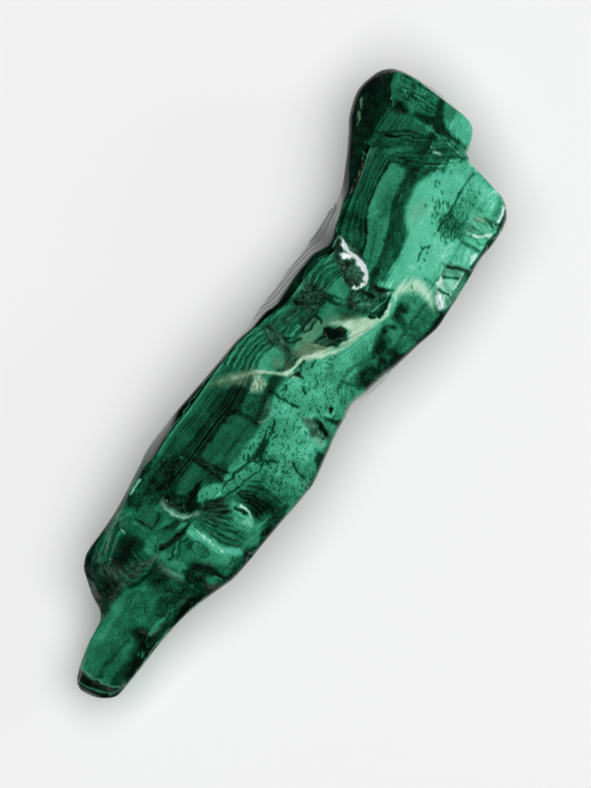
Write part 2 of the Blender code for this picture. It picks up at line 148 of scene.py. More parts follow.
# Relief of the front face, seen from above: x, y, half length, half width, turn in degrees
# from +X, and height.
SWELLS = (
    # The lobes behind the finger, and the finger's own two joints.
    (-48.5, 14, 7, 5, 15, 1.7), (-39.5, 14.5, 5.6, 5, 0, 1.3),
    (-57, 14.5, 2.6, 5, -30, 0.9), (-37, 9.5, 3.2, 2.6, 0, 0.7),
    (-70, 3, 6, 5, 0, 0.6), (-56.5, 3, 5, 5, 0, 0.5),
    (-57.5, -1.6, 4, 1.6, -15, 0.7), (-43, -6, 2.4, 2.2, 20, 0.9),
    # The knuckle where the finger joins the body: two lumps, a bright ridge and a dome.
    (-45, 3, 3.4, 5.6, 0, 0.8), (-38.6, -0.6, 3.6, 6, 10, 0.9),
    (-35.3, -1.4, 1.7, 6.4, 4, 1.1), (-29.5, -2.4, 3.8, 6.6, 0, 0.8),
    (-24, -8.8, 5, 2.4, -10, 0.6), (-16, -7, 4, 4.6, 0, 0.5),
    # Gentle waves of the polished face.
    (-12, 12, 13, 5, -6, 0.6), (4, -5, 11, 5.5, 0, 0.5),
    (13, 9, 7, 5, -20, 0.5), (26, 6, 5, 5, 0, 0.5),
    (50, -6, 11, 6.5, 0, 0.8), (46, 7, 8, 3, 15, 0.5),
    (63, -13, 5, 5.5, 0, 0.6), (76, 2, 3, 8, 5, 0.8),
    (66, 9, 5, 6, 0, 0.5),
    # Valleys across the finger.
    (-62, 0, 1.8, 3.8, 10, -0.6), (-49, 3, 2.8, 6.6, 4, -0.6),
    (-52, -4, 4, 1.6, -15, -0.7),
    # Beside the crescent lip and between the knuckle's ridge and dome.
    (-30.9, 9.4, 2.3, 5.2, 6, -1.2), (-32.6, 0.6, 1.3, 5, 4, -0.7),
    (-41, 5.4, 3.4, 1, -18, -0.5), (-41.2, -4.6, 1.2, 3.4, 10, -0.5),
    (-21.8, -6.6, 2.4, 4.2, 14, -1),
    # Dents along the light edge.
    (-0.6, -10.2, 1.7, 3.2, 10, -0.5), (24, -12.6, 2.9, 2.1, -25, -0.35),
    (32.2, -12.6, 2.9, 2.1, -10, -0.35), (46.4, -18.6, 2.4, 2.8, -20, -0.6),
    (13, 3.6, 3.6, 1.4, -20, -0.4), (67, 2, 2, 5, 25, -0.5),
)
SWELL_EDGE = 0.55
SWELL_STEEPNESS = 1.3
# Two hollows beside the vein: a deep pit, and one with flat facets.
DEEP_PIT = (
    (15.9, 1.7), (17.8, 1), (18.8, 0.3), (20.2, 1.3), (20.9, 0.6), (21.2, -0.6), (22.3, -1.7),
    (22.3, -3.3), (21.2, -3.8), (20.4, -4.6), (19.6, -3.7), (17.7, -3.2), (18, -2.4), (17.2, -1.7),
    (16.6, -0.3),
)
FACETS = (
    (27, -3), (29, -1.6), (31.5, -1.2), (33.6, -2.8), (35, -5.2), (35.9, -7.9), (32, -8.4),
    (29.4, -8.9), (28.2, -7.4), (27.6, -5.2),
)
# Hollows with a floor and walls: depth, width of the wall, and the corners of the rim.
HOLLOWS = (
    (0.8, 2.4, (
        (40, 8.6), (37.6, 8.3), (35.6, 7.2), (34.3, 5.6), (33, 3.8), (32, 2), (31, 0.4), (31.8, -1.2),
        (33.4, -2), (35.4, -1.6), (37, -0.3), (38.2, 1.6), (38.8, 4), (39.4, 6.2),
    )),
    (1.5, 0.7, DEEP_PIT),
    (1, 1.1, FACETS),
    (1.3, 0.9, (
        (37, -20.6), (37.8, -18.8), (39.2, -17.3), (41.2, -16.7), (43.6, -16.2), (44.6, -14.6),
        (46.8, -13.8), (46.9, -15.8), (48.2, -19), (48.6, -22),
    )),
    (0.9, 0.5, ((-26.1, -2.2), (-25.4, -2.6), (-25.2, -5), (-25.7, -6.4), (-26.2, -5.2))),
    (0.7, 0.5, ((4.1, -9.3), (4.7, -8.8), (5.5, -9.3), (5.2, -10), (4.4, -10.1))),
    (0.6, 0.5, ((26.9, -6.1), (27.7, -6.1), (28.6, -7.4), (28.2, -7.9), (27.3, -7.2))),
    (0.7, 0.8, ((17.4, 5.1), (20, 5.1), (22, 4.2), (20.6, 3.6), (18.4, 3.9))),
    (0.5, 0.8, ((13, 7.9), (13.6, 7.6), (14.4, 5.8), (15.6, 4.8), (14.8, 4.4), (13.2, 5.8))),
    (0.4, 1.2, ((70.9, 14.2), (73.4, 14.2), (73, 11), (72.2, 9), (71.3, 11))),
)
# Creases and raised lips: half width, height, then the points that they run through.
CREASES = (
    (1.3, -0.9, ((-58.5, 9.9), (-56.5, 9.9), (-54, 8.7), (-50, 7.6), (-46, 6.9))),
    (0.7, -0.8, ((-10, -8.4), (-11.4, -10.4), (-12.2, -14.6))),
    (1.1, -1.2, ((56.4, -16.6), (56, -19.4), (56.6, -22.4))),
    (1.3, -0.45, ((73.2, 15.8), (72.2, 11), (72.6, 6), (72.7, 0), (72, -6.2))),
    (0.8, -0.9, ((-34.4, -7), (-34.2, -12.4))),
    (0.7, -0.6, ((-77.4, 8), (-77.7, 4.4), (-77, 0))),
    (0.5, -0.4, ((-40.2, 15.4), (-40, 13.4), (-40.1, 11.3), (-37.9, 11.1), (-36, 11.6))),
)
LIPS = (
    (0.9, 0.7, ((-33.4, 13), (-34.4, 10.6), (-34.6, 8.2), (-33.9, 6), (-32.4, 4.5))),
    (0.4, 0.35, ((-26.6, -1.8), (-26.7, -6))),
    (0.4, 0.35, ((-24.9, -2.6), (-25, -5), (-25.8, -7))),
    (0.9, 0.5, ((31, 1.4), (34.2, -2.4), (37.6, -0.4), (39.2, 3.4), (40.6, 8.2))),
    (0.35, 0.2, ((-79, 8), (-78.9, 5.6), (-78.3, 3), (-77.3, 0.4))),
    (0.35, 0.2, ((-76, 9), (-76.2, 5.4), (-76, 1.8), (-75, -1))),
)
# Fine open cracks: half width, depth, points.
CRACKS = (
    (0.34, 0.3, ((-28.6, 3.9), (-27, 2.6), (-25.6, 1.3), (-23.4, 0.4), (-21.4, -0.4))),
    (0.24, 0.22, ((-21.4, -0.4), (-19, -1.3), (-17, -2), (-15.1, -3), (-13.6, -2.6))),
    (0.24, 0.22, ((-24.2, 2.2), (-22.6, 2.4), (-21.4, 2.1), (-20.2, 1.6))),
    (0.34, 0.3, ((-20.2, 1.6), (-18.9, 1.9), (-17.6, 1.2), (-16, 0.7), (-15, 0.3))),
    (0.34, 0.3, ((-15, 0.3), (-14.3, -0.5), (-13.8, -1.4), (-13.2, -1.9))),
    (0.2, 0.18, ((-15.2, 0.5), (-14.2, 0.9), (-13.6, 1.5))),
    (0.36, 0.32, ((-13.1, -1.9), (-12.6, -3.4), (-11.8, -5.2))),
    (0.6, 0.4, ((-13, -1.5), (-11.4, -1), (-9.6, -0.7), (-8.8, -0.6))),
    (0.26, 0.22, ((-8.2, -0.4), (-6.4, -0.4), (-4.9, 0.3), (-3.9, 0.7))),
    (0.3, 0.26, ((1.2, 4.6), (1, 2.8), (1.1, 0.6), (1, -1.2), (1.4, -2.5))),
    (0.24, 0.2, ((5.9, 2.3), (6.8, 1.9), (7.5, 0.8), (7.3, -0.4))),
    (0.24, 0.2, ((7.6, 0.9), (8.4, 0.9), (9.4, 1.4), (11.2, 1.7))),
    (0.24, 0.2, ((2.4, 2.4), (3.2, 1.7), (4.1, 2))),
    (0.22, 0.2, ((10.7, -0.8), (11.8, -0.8), (13, -1.1))),
    (0.26, 0.22, ((4.8, -2.6), (5.2, -1.8), (5.8, -1.4))),
    (0.26, 0.2, ((-22.1, 6.6), (-21.9, 4.8), (-21.8, 3))),
    (0.26, 0.2, ((-20.5, 6.2), (-20.2, 4.2), (-19.6, 2.7))),
    (0.22, 0.18, ((44.2, -9.7), (46.4, -9.2), (47.4, -9), (48.6, -9.8))),
    (0.2, 0.15, ((47.3, -9), (47.5, -8.3))),
    (0.3, 0.24, ((52.8, -9.4), (54.2, -9.1), (55.2, -9.2))),
    (0.26, 0.2, ((56.6, -9.2), (58.4, -9.4), (60, -9.5), (62.6, -9.1))),
    (0.2, 0.16, ((62.6, -9.1), (64.6, -9.3), (66.4, -9.5), (68.6, -10))),
    (0.42, 0.34, ((-42.7, 7.3), (-42, 6.1), (-40.8, 5.6), (-39.4, 5), (-38.4, 4.7))),
    (0.24, 0.2, ((-38.4, 4.7), (-37.2, 4.6), (-35.8, 4.8), (-34.4, 4.6))),
    (0.22, 0.18, ((-43.2, 3.2), (-42, 3.2), (-40.7, 3.9), (-39.5, 4.1), (-37.8, 3.3))),
)
# Seeded dashes and small pits of the light zones: middle x, y, spread along and across, count.
PITTED = (
    (-3, -3, 8, 3, 26), (-1, -8, 9, 3, 30), (10, -4.5, 6, 2.6, 18), (-15, -6, 5, 4, 60),
    (-17, 1, 5, 2, 16), (55, -11.5, 3.4, 2.6, 40), (57.5, -6.5, 2.6, 2, 14), (63, -12, 4, 2.4, 16),
    (62, -3.5, 5, 2, 10), (44, -11, 6, 3, 8),
)
PIT_DEPTH = 0.14
# Pits crowd to the middle of their zone. Each is a dash with a half width and a turn from +X in
# these ranges. Its length is drawn from its own range and raised to the power, which favours
# short ones. It is carved this much wider than it is filled.
PIT_CROWDING = 0.6
PIT_LENGTHS = (0.1, 0.9)
PIT_LENGTH_POWER = 1.5
PIT_HALF_WIDTHS = (0.13, 0.3)
PIT_TURNS = (-10, 65)
PIT_SHOULDER = 0.1
# How far off a crack or a pit its carving is worked out.
GROOVE_REACH = 1
# A hollow's wall starts this far outside its rim.
RIM_REACH = 0.15

# Lumps and dents of the sides and the back: x, y, z, reach all round, and height.
BODY_LUMPS = (
    (-52, 21, 6, 9, 0.8), (-38, 21, 8, 9, -0.9), (-26, 21, 15, 11, 0.8), (-4, 18, 9, 12, -0.9),
    (14, 15, 14, 9, 0.7), (30, 14, 8, 12, -1), (46, 12, 17, 8, -0.7), (66, 20, 8, 11, 0.8),
    (-44, -9, 10, 9, 0.8), (-30, -12, 7, 9, -0.8), (-14, -14, 14, 9, 0.7), (2, -13, 8, 9, -0.8),
    (18, -16, 6, 9, 0.8), (34, -20, 13, 10, -0.8), (52, -21, 9, 10, 0.8), (64, -16, 5, 8, -0.8),
    (72, -7, 10, 5, -0.8), (78, 8, 8, 8, 0.7), (-70, 8, 8, 7, -0.6), (-66, -2, 8, 6, 0.5),
    (70, 14, 3, 9, -0.8),
)

# Folds of the dark side, which meet where it is narrowest: that place's x, their pitch, height
# and slope away from it, and how far off they bend over.
WAIST = 39
FOLD_PITCH = 4.4
FOLD_HEIGHT = 0.15
FOLD_SLANT = 0.55
FOLD_BEND = 5
# Where along X the folds start and end, each from none to full.
FOLDS_START = (12, 20)
FOLDS_END = (51, 45)
# Random fields make them uneven in place and in height, each a strength, a size and a seed.
FOLD_WANDER = ((0.25, 12, 9),)
FOLD_UNEVENNESS = ((0.5, 9, 11),)
# The folds lie where the surface looks toward +Y by this much or more.
FOLDS_FADE = (0.3, 0.7)

# The banding follows these lines over the front face, each given as x, y. A place between two
# lines has a growth depth between theirs, in band units.
BAND_LINES = (
    (0, (
        (-60, 19), (-34, 19.7), (-24, 19.8), (-16, 19.4), (-8, 18.8), (0, 17.8), (8, 16.5), (12, 15.5),
        (16, 14.3), (20, 12.8), (28, 12), (32, 11.5), (36, 9.4), (38, 9), (42, 10.3), (50, 11.6),
        (56, 13), (62, 14.3), (66, 14.7), (70, 14.3), (74, 15.8), (78, 17.6), (82, 18.4),
    )),
    (6, (
        (-60, 9), (-34, 12), (-26, 11.2), (-20, 10.2), (-14, 10.3), (-11, 10.2), (-9, 9.6), (-6, 8.8),
        (-2, 9.1), (1, 9.6), (4, 10.2), (8, 10.3), (10.5, 9.6), (13, 8.2), (16, 6.9), (20, 5.2),
        (22, 4.2), (25, 4.1), (28, 5.1), (31, 4.7), (34, 3.6), (39, 2.3), (42, 3), (44, 3.8), (46, 5.2),
        (48, 6.2), (50, 7), (53, 7.8), (56, 8.2), (70, 8.1), (82, 7.4),
    )),
    (10, (
        (-60, 4), (-28, 4), (-22, 3), (-18, 3.2), (-12, 2.6), (-8, 2.2), (-4, 2.2), (0, 3.2), (3, 3.3),
        (6, 2.6), (9, 1.8), (12, 0.8), (15, -1.2), (18, -3), (22, -4.6), (26, -6.6), (30, -8.8),
        (33, -6.4), (36, -4.2), (44, -4.3), (48, -3.6), (50, -2.4), (52, -1.4), (54, -0.7), (58, -0.2),
        (62, -0.6), (68, -1.4), (72, -1), (74, 1), (82, 2.4),
    )),
    (16, (
        (-60, -4), (-34, -8), (-24, -11), (-16, -13), (-8, -12.6), (0, -11.6), (7, -11), (12, -9),
        (16, -9.4), (20, -11), (26, -13), (34, -15.2), (42, -16.4), (48, -16.9), (54, -15.9), (58, -15.9),
        (64, -15.2), (70, -17), (82, -18),
    )),
)
# Past the last line the growth depth rises by this much a millimetre.
OUTER_GROWTH = 0.8
# Tones at the growth depths of the front face, and past both ends. The pale tone just past depth 0 is a
# painted highlight along the ridge's bevel.
BAND_TONES = (
    (-2, 0.11), (-0.4, 0.06), (-0.1, 0.12), (0.2, 0.6), (0.5, 0.38), (0.9, 0.46), (1.3, 0.27), (1.8, 0.4),
    (2.3, 0.27), (2.8, 0.4), (3.4, 0.24), (4, 0.36), (4.6, 0.24), (5.2, 0.3), (5.7, 0.2), (6, 0.13),
    (6.15, 0.52), (7, 0.56), (7.8, 0.5), (8.3, 0.4), (8.8, 0.22), (9.3, 0.24), (9.8, 0.5), (10.4, 0.74),
    (11.4, 0.83), (14, 0.82), (15.4, 0.74), (15.9, 0.52), (16.4, 0.66), (17.4, 0.66), (18.6, 0.4),
    (20, 0.26),
)
# How far along X and Y the picture shows each station's front face from where it lies.
SEEN_SHIFT = (
    (-80, -0.5, 0.6), (-66, -0.2, 0.4), (-56, -0.6, 0.4), (-51, -1.2, 0.6), (-46, -1.1, 0.7),
    (-36, -0.7, 0.5), (-21, -0.4, 0.5), (-11, 0, 0.9), (-1, -0.4, 0.8), (9, -0.1, 0.7), (24, 0, 0.5),
    (34, 0, 0.4), (44, 0, 0), (50, 0.1, 0.4), (56, 0.2, 0.7), (80, 0.2, 0.6),
)
# Near the outline this share of the shift is lost, from the first distance off X to the second.
SHIFT_LOSS = 0.5
SHIFT_LOSS_FADE = (11, 18)
# Marks get natural edges from random fields: how large their swells are, how far they move a
# place, and their seed.
RAGGEDNESS = ((7, 0.15, 3), (2.2, 0.1, 1), (0.9, 0.1, 5))
# A random field is made of this many waves, whose lengths are this many times its swells' size.
WAVES = 16
WAVE_LENGTHS = (1.5, 3)
# Each half of the stone takes a strip of this height in the map of its skin.
MAP_STRIP = 0.495


def smooth_curve(points, at):
    """A smooth curve through (station, value, ...) points, read at the given stations.

    It never swings past its points: where they turn back, the curve is level.
    """
    table = np.array(points)
    knots, values = table[:, 0], table[:, 1:]
    secants = np.diff(values, axis=0) / np.diff(knots)[:, None]
    before, after = secants[:-1], secants[1:]
    same_way = before * after > 0
    bends = np.where(same_way, 2 * before * after / np.where(same_way, before + after, 1), 0)
    slopes = np.concatenate([secants[:1], bends, secants[-1:]])
    left = np.clip(np.searchsorted(knots, at, side="right") - 1, 0, len(knots) - 2)
    span = (knots[left + 1] - knots[left])[..., None]
    part = (np.clip(at, knots[0], knots[-1]) - knots[left])[..., None] / span
    rise = values[left + 1] - values[left]
    start, end = slopes[left] * span - rise, rise - slopes[left + 1] * span
    blend = values[left] + part * rise + part * (1 - part) * ((1 - part) * start + part * end)
    return blend[..., 0] if values.shape[1] == 1 else blend


def fade(value, low, high):
    """0 at low and before it, 1 at high and past it, with a smooth step between."""
    part = np.clip((value - low) / (high - low), 0, 1)
    return part * part * (3 - 2 * part)


def mixed(places, fields):
    """Random fields added up, each given as its strength, size and seed."""
    return sum(strength * wander(places, size, seed) for strength, size, seed in fields)


def wander(places, size, seed):
    """A smooth random field, mostly within 1 of 0, whose swells are about size across."""
    random = np.random.default_rng(seed)
    field = np.zeros(places.shape[:-1])
    for _ in range(WAVES):
        direction = random.normal(size=places.shape[-1])
        direction *= 2 * np.pi / (size * random.uniform(*WAVE_LENGTHS)) / np.linalg.norm(direction)
        field += np.sin(places @ direction + random.uniform(0, 2 * np.pi))
    return field * np.sqrt(1 / WAVES)


def seen(places):
    """Places seen from above, as the picture shows them."""
    shift = smooth_curve(SEEN_SHIFT, places[..., 0])
    shift[..., 1] *= 1 - SHIFT_LOSS * fade(np.abs(places[..., 1]), *SHIFT_LOSS_FADE)
    return places + shift


def ragged(places):
    """Places moved a little, so that what is laid at them has natural edges."""
    moved = places.copy()
    for size, reach, seed in RAGGEDNESS:
        moved += reach * np.stack([wander(places, size, seed + k) for k in (0, 1)], axis=-1)
    return moved


def stations():
    """The stations of the rings, a little closer together near both ends."""
    share = np.linspace(0.0, 1.0, RINGS + 1)
    eased = share - RING_CROWDING * np.sin(2 * np.pi * share) / (2 * np.pi)
    return HALF_LENGTH * (2 * eased - 1)


def section_corners(at, width):
    """Each ring's corners as (across, height), from the middle of the back round by -Y.

    Across is measured from the light edge, at 0, to the dark edge, at the full width.
    """
    crown = smooth_curve(CROWN_HEIGHT, at)
    bottom = smooth_curve(BOTTOM_HEIGHT, at)
    reach = np.minimum(1.0, width / FULL_WIDTH)
    light_inset = smooth_curve(LIGHT_INSET, at) * reach
    ridge_inset = smooth_curve(RIDGE_INSET, at) * reach
    light_tuck = smooth_curve(LIGHT_TUCK, at) * reach
    dark_tuck = smooth_curve(DARK_TUCK, at) * reach
    undercut = smooth_curve(LIGHT_UNDERCUT, at) * reach
    lean = light_inset * SHOULDER_LEAN * (1 - undercut / FULL_UNDERCUT)
    shoulder = crown - smooth_curve(LIGHT_DROP, at)
    ridge = crown - smooth_curve(RIDGE_DROP, at)
    widest = smooth_curve(DARK_WIDEST, at)
    second = ridge + SHOULDER_SHARE * (widest - ridge) + smooth_curve(DARK_SHOULDER, at)
    corners = (
        ((light_tuck + width - dark_tuck) / 2, bottom),
        (light_tuck, bottom),
        (undercut, smooth_curve(LIGHT_WIDEST, at)),
        (lean, shoulder - SHOULDER_SINK),
        (light_inset, shoulder),
        (width - ridge_inset, ridge),
        (width - ridge_inset * (1 - SHOULDER_SHARE), second),
        (width, widest),
        (width - dark_tuck, bottom),
    )
    return np.array(corners).transpose(2, 0, 1)


def ring_positions(corners, width):
    """Points round each ring: its corners joined by straight stretches, then rounded."""
    turns = np.arange(SEGMENTS) / SEGMENTS
    ends = np.concatenate([[0.0], np.cumsum(STRETCH_SHARES)])
    place = np.interp(turns, ends, np.arange(len(ends)))
    stretch = place.astype(int)
    part = (place - stretch)[None, :, None]
    closed = np.concatenate([corners, corners[:, :1]], axis=1)
    straight = closed[:, stretch] * (1 - part) + closed[:, stretch + 1] * part

    middle = (corners.max(axis=1) + corners.min(axis=1)) / 2
    rays = straight - middle[:, None]
    rays /= np.linalg.norm(rays, axis=2, keepdims=True)

    # Each side of the polygon keeps its own outward direction and distance from the middle.
    sides = closed[:, 1:] - closed[:, :-1]
    outward = np.stack([-sides[..., 1], sides[..., 0]], axis=2)
    outward /= np.linalg.norm(outward, axis=2, keepdims=True) + 1e-9
    distance = np.einsum("rsk,rsk->rs", outward, closed[:, :-1] - middle[:, None])
    facing = np.einsum("rpk,rsk->rps", rays, outward) / distance[:, None, :]
    near_ridge = np.exp(-(((turns - ends[RIDGE_CORNER]) / RIDGE_SPREAD) ** 2))
    power = (SOFT_CORNERS + (CRISP_CORNERS - SOFT_CORNERS) * near_ridge)[None, :]
    reach = np.sum(np.maximum(facing[:, :, 1:], 0) ** power[..., None], axis=2) ** (-1 / power)
    rounded = rays * reach[..., None]

    # Rounding draws the sides in, so each ring is stretched back to its outline.
    low, high = rounded[..., 0].min(axis=1), rounded[..., 0].max(axis=1)
    across = (rounded[..., 0] - low[:, None]) / (high - low)[:, None] * width[:, None]
    return across, rounded[..., 1] + middle[:, 1][:, None]


def base_surface():
    """The smooth body of the stone: one grid of points, rings along it and segments round."""
    at = stations()
    dark, light = smooth_curve(DARK_EDGE, at), smooth_curve(LIGHT_EDGE, at)
    width = np.linalg.norm(dark - light, axis=1) + 1e-6
    across, height = ring_positions(section_corners(at, width), width)
    share = (across / width[:, None])[..., None]
    plan = light[:, None] * (1 - share) + dark[:, None] * share

    # The heights close to a point at both ends, along a quarter of an ellipse.
    cap = np.where(at < 0, TIP_CAP, END_CAP)
    closing = np.clip((HALF_LENGTH - np.abs(at)) / cap, 0, 1)
    closing = np.sqrt(1 - (1 - closing) ** 2)[:, None]
    middle = (height.max(axis=1) + height.min(axis=1))[:, None] / 2
    height = middle + (height - middle) * closing
    return np.concatenate([plan, height[..., None]], axis=2)


def outward_normals(grid):
    """Outward directions of the grid's points, from their neighbours along and round."""
    along = np.gradient(grid, axis=0)
    round_ring = np.roll(grid, -1, axis=1) - np.roll(grid, 1, axis=1)
    normal = np.cross(along, round_ring)
    normal /= np.linalg.norm(normal, axis=2, keepdims=True) + 1e-12
    middle = grid.mean(axis=1, keepdims=True)
    inward = np.sum(normal * (grid - middle), axis=(1, 2)) < 0
    normal[inward] *= -1
    return normal


def oval(x, y, shape):
    """Distance from an oval's centre, 1 on its edge."""
    centre_x, centre_y, half_length, half_width, turn = shape
    cos, sin = np.cos(np.radians(turn)), np.sin(np.radians(turn))
    along = ((x - centre_x) * cos + (y - centre_y) * sin) / half_length
    across = ((y - centre_y) * cos - (x - centre_x) * sin) / half_width
    return np.hypot(along, across)


def distance_to_line(x, y, points):
    """How far each place lies, seen from above, from a line through the points."""
    nearest = np.full(x.shape, np.inf)
    for (x0, y0), (x1, y1) in zip(points, points[1:]):
        run_x, run_y = x1 - x0, y1 - y0
        part = ((x - x0) * run_x + (y - y0) * run_y) / (run_x**2 + run_y**2)
        part = np.clip(part, 0, 1)
        nearest = np.minimum(nearest, np.hypot(x - x0 - part * run_x, y - y0 - part * run_y))
    return nearest


def depth_inside(x, y, corners):
    """How far inside a closed outline each place lies, negative outside it."""
    nearest = distance_to_line(x, y, corners + corners[:1])
    inside = np.zeros(x.shape, bool)
    for (x0, y0), (x1, y1) in zip(corners, corners[1:] + corners[:1]):
        if y0 != y1:
            crossing = x0 + (y - y0) * (x1 - x0) / (y1 - y0)
            inside ^= ((y0 > y) != (y1 > y)) & (x < crossing)
    return np.where(inside, nearest, -nearest)


def near_box(x, y, points, margin):
    """The indices of the places within a margin of the points' box."""
    corners = np.array(points)
    low, high = corners.min(axis=0) - margin, corners.max(axis=0) + margin
    return np.nonzero((x > low[0]) & (x < high[0]) & (y > low[1]) & (y < high[1]))


def pit_lines():
    """Seeded dashes of the light zones, each a short line with its half width."""
    random = np.random.default_rng(31)
    lines = []
    for x, y, spread_x, spread_y, count in PITTED:
        for _ in range(count):
            spread = (spread_x * PIT_CROWDING, spread_y * PIT_CROWDING)
            start = random.normal((x, y), spread)
            length = random.uniform(*PIT_LENGTHS) ** PIT_LENGTH_POWER
            turn = np.radians(random.uniform(*PIT_TURNS))
            end = start + length * np.array([np.cos(turn), np.sin(turn)])
            lines.append(((start, end), random.uniform(*PIT_HALF_WIDTHS)))
    return lines


def front_relief(x, y):
    """Height that the front face gains or loses at each place, seen from above."""
    relief = np.zeros(x.shape)
    for *shape, height in SWELLS:
        relief += height * np.exp(-((oval(x, y, shape) ** 2 / SWELL_EDGE) ** SWELL_STEEPNESS))
    for half_width, height, points in CREASES + LIPS:
        relief += height * np.exp(-((distance_to_line(x, y, points) / half_width) ** 2))
    for depth, wall, corners in HOLLOWS:
        near = near_box(x, y, corners, wall)
        inside = depth_inside(x[near], y[near], corners)
        relief[near] -= depth * fade(inside, -RIM_REACH, wall - RIM_REACH)
    pits = [(width + PIT_SHOULDER, PIT_DEPTH, points) for points, width in pit_lines()]
    for half_width, depth, points in (*CRACKS, *pits):
        near = near_box(x, y, points, GROOVE_REACH)
        away = distance_to_line(x[near], y[near], points)
        relief[near] -= depth * np.exp(-((away / half_width) ** 2))
    return relief


def body_relief(grid):
    """Height that the sides and the back gain or lose, from lumps that reach all round."""
    relief = 0
    for *centre, reach, height in BODY_LUMPS:
        away = np.linalg.norm(grid - np.array(centre), axis=2)
        relief = relief + height * np.exp(-2 * (away / reach) ** 2)
    return relief


def side_folds(grid):
    """Height of the folds of the dark side, which meet at its waist."""
    x, _, z = np.moveaxis(grid, 2, 0)
    along = np.hypot(x - WAIST, FOLD_BEND)
    phase = (z + FOLD_SLANT * along) / FOLD_PITCH + mixed(grid, FOLD_WANDER)
    within = fade(x, *FOLDS_START) * fade(x, *FOLDS_END)
    height = FOLD_HEIGHT * (1 + mixed(grid, FOLD_UNEVENNESS))
    return height * within * np.sin(2 * np.pi * phase)


def stone_surface():
    """The finished surface before it is centred, the smooth one, and its facing and places."""
    smooth = base_surface()
    normal = outward_normals(smooth)
    facing_up = fade(normal[..., 2], *FRONT_FADE)
    places = ragged(seen(smooth[..., :2]))
    relief = facing_up * front_relief(places[..., 0], places[..., 1])
    dark_side = fade(normal[..., 1], *FOLDS_FADE)
    relief += (1 - facing_up) * (body_relief(smooth) + dark_side * side_folds(smooth))
    grid = smooth + normal * relief[..., None]
    grid[..., 2] = np.maximum(grid[..., 2], 0)
    return grid, smooth, normal[..., 2], places


def growth_depth(x, y):
    """How deep in the banding each place of the front face lies, in band units."""
    lines = [(depth, smooth_curve(points, x)) for depth, points in BAND_LINES]
    depth = np.zeros(y.shape)
    for (upper, upper_y), (lower, lower_y) in zip(lines, lines[1:]):
        part = upper + (upper_y - y) / (upper_y - lower_y) * (lower - upper)
        depth = np.where((y < upper_y) | (upper == lines[0][0]), part, depth)
    last, last_y = lines[-1]
    return np.where(y < last_y, last + (last_y - y) * OUTER_GROWTH, depth)


# One coat holds both the grey and brown patches and the painted glints and reflections of the polish.
COATS = ("tone", "bands", "lines", "grain", "sand", "earth", "rust", "speckle", "streaks")
# What a coat has of the grain and of the fine lines, where its mark doesn't say.
PLAIN_GRAIN = 0.6
PLAIN_LINES = 0.2
# How far the mottling swings the tone, where the grain is full.
MOTTLE = 0.08
# How soft the edges of strokes are, how much their turns spread, in degrees, which shares of
# their half length and of their strength they have, and how many places are tried for each.
STROKE_SOFT = 0.3
STROKE_SPREAD = 14
STROKE_REACHES = (0.3, 0.7)
STROKE_SHARES = (0.6, 1)
STROKE_TRIES = 5


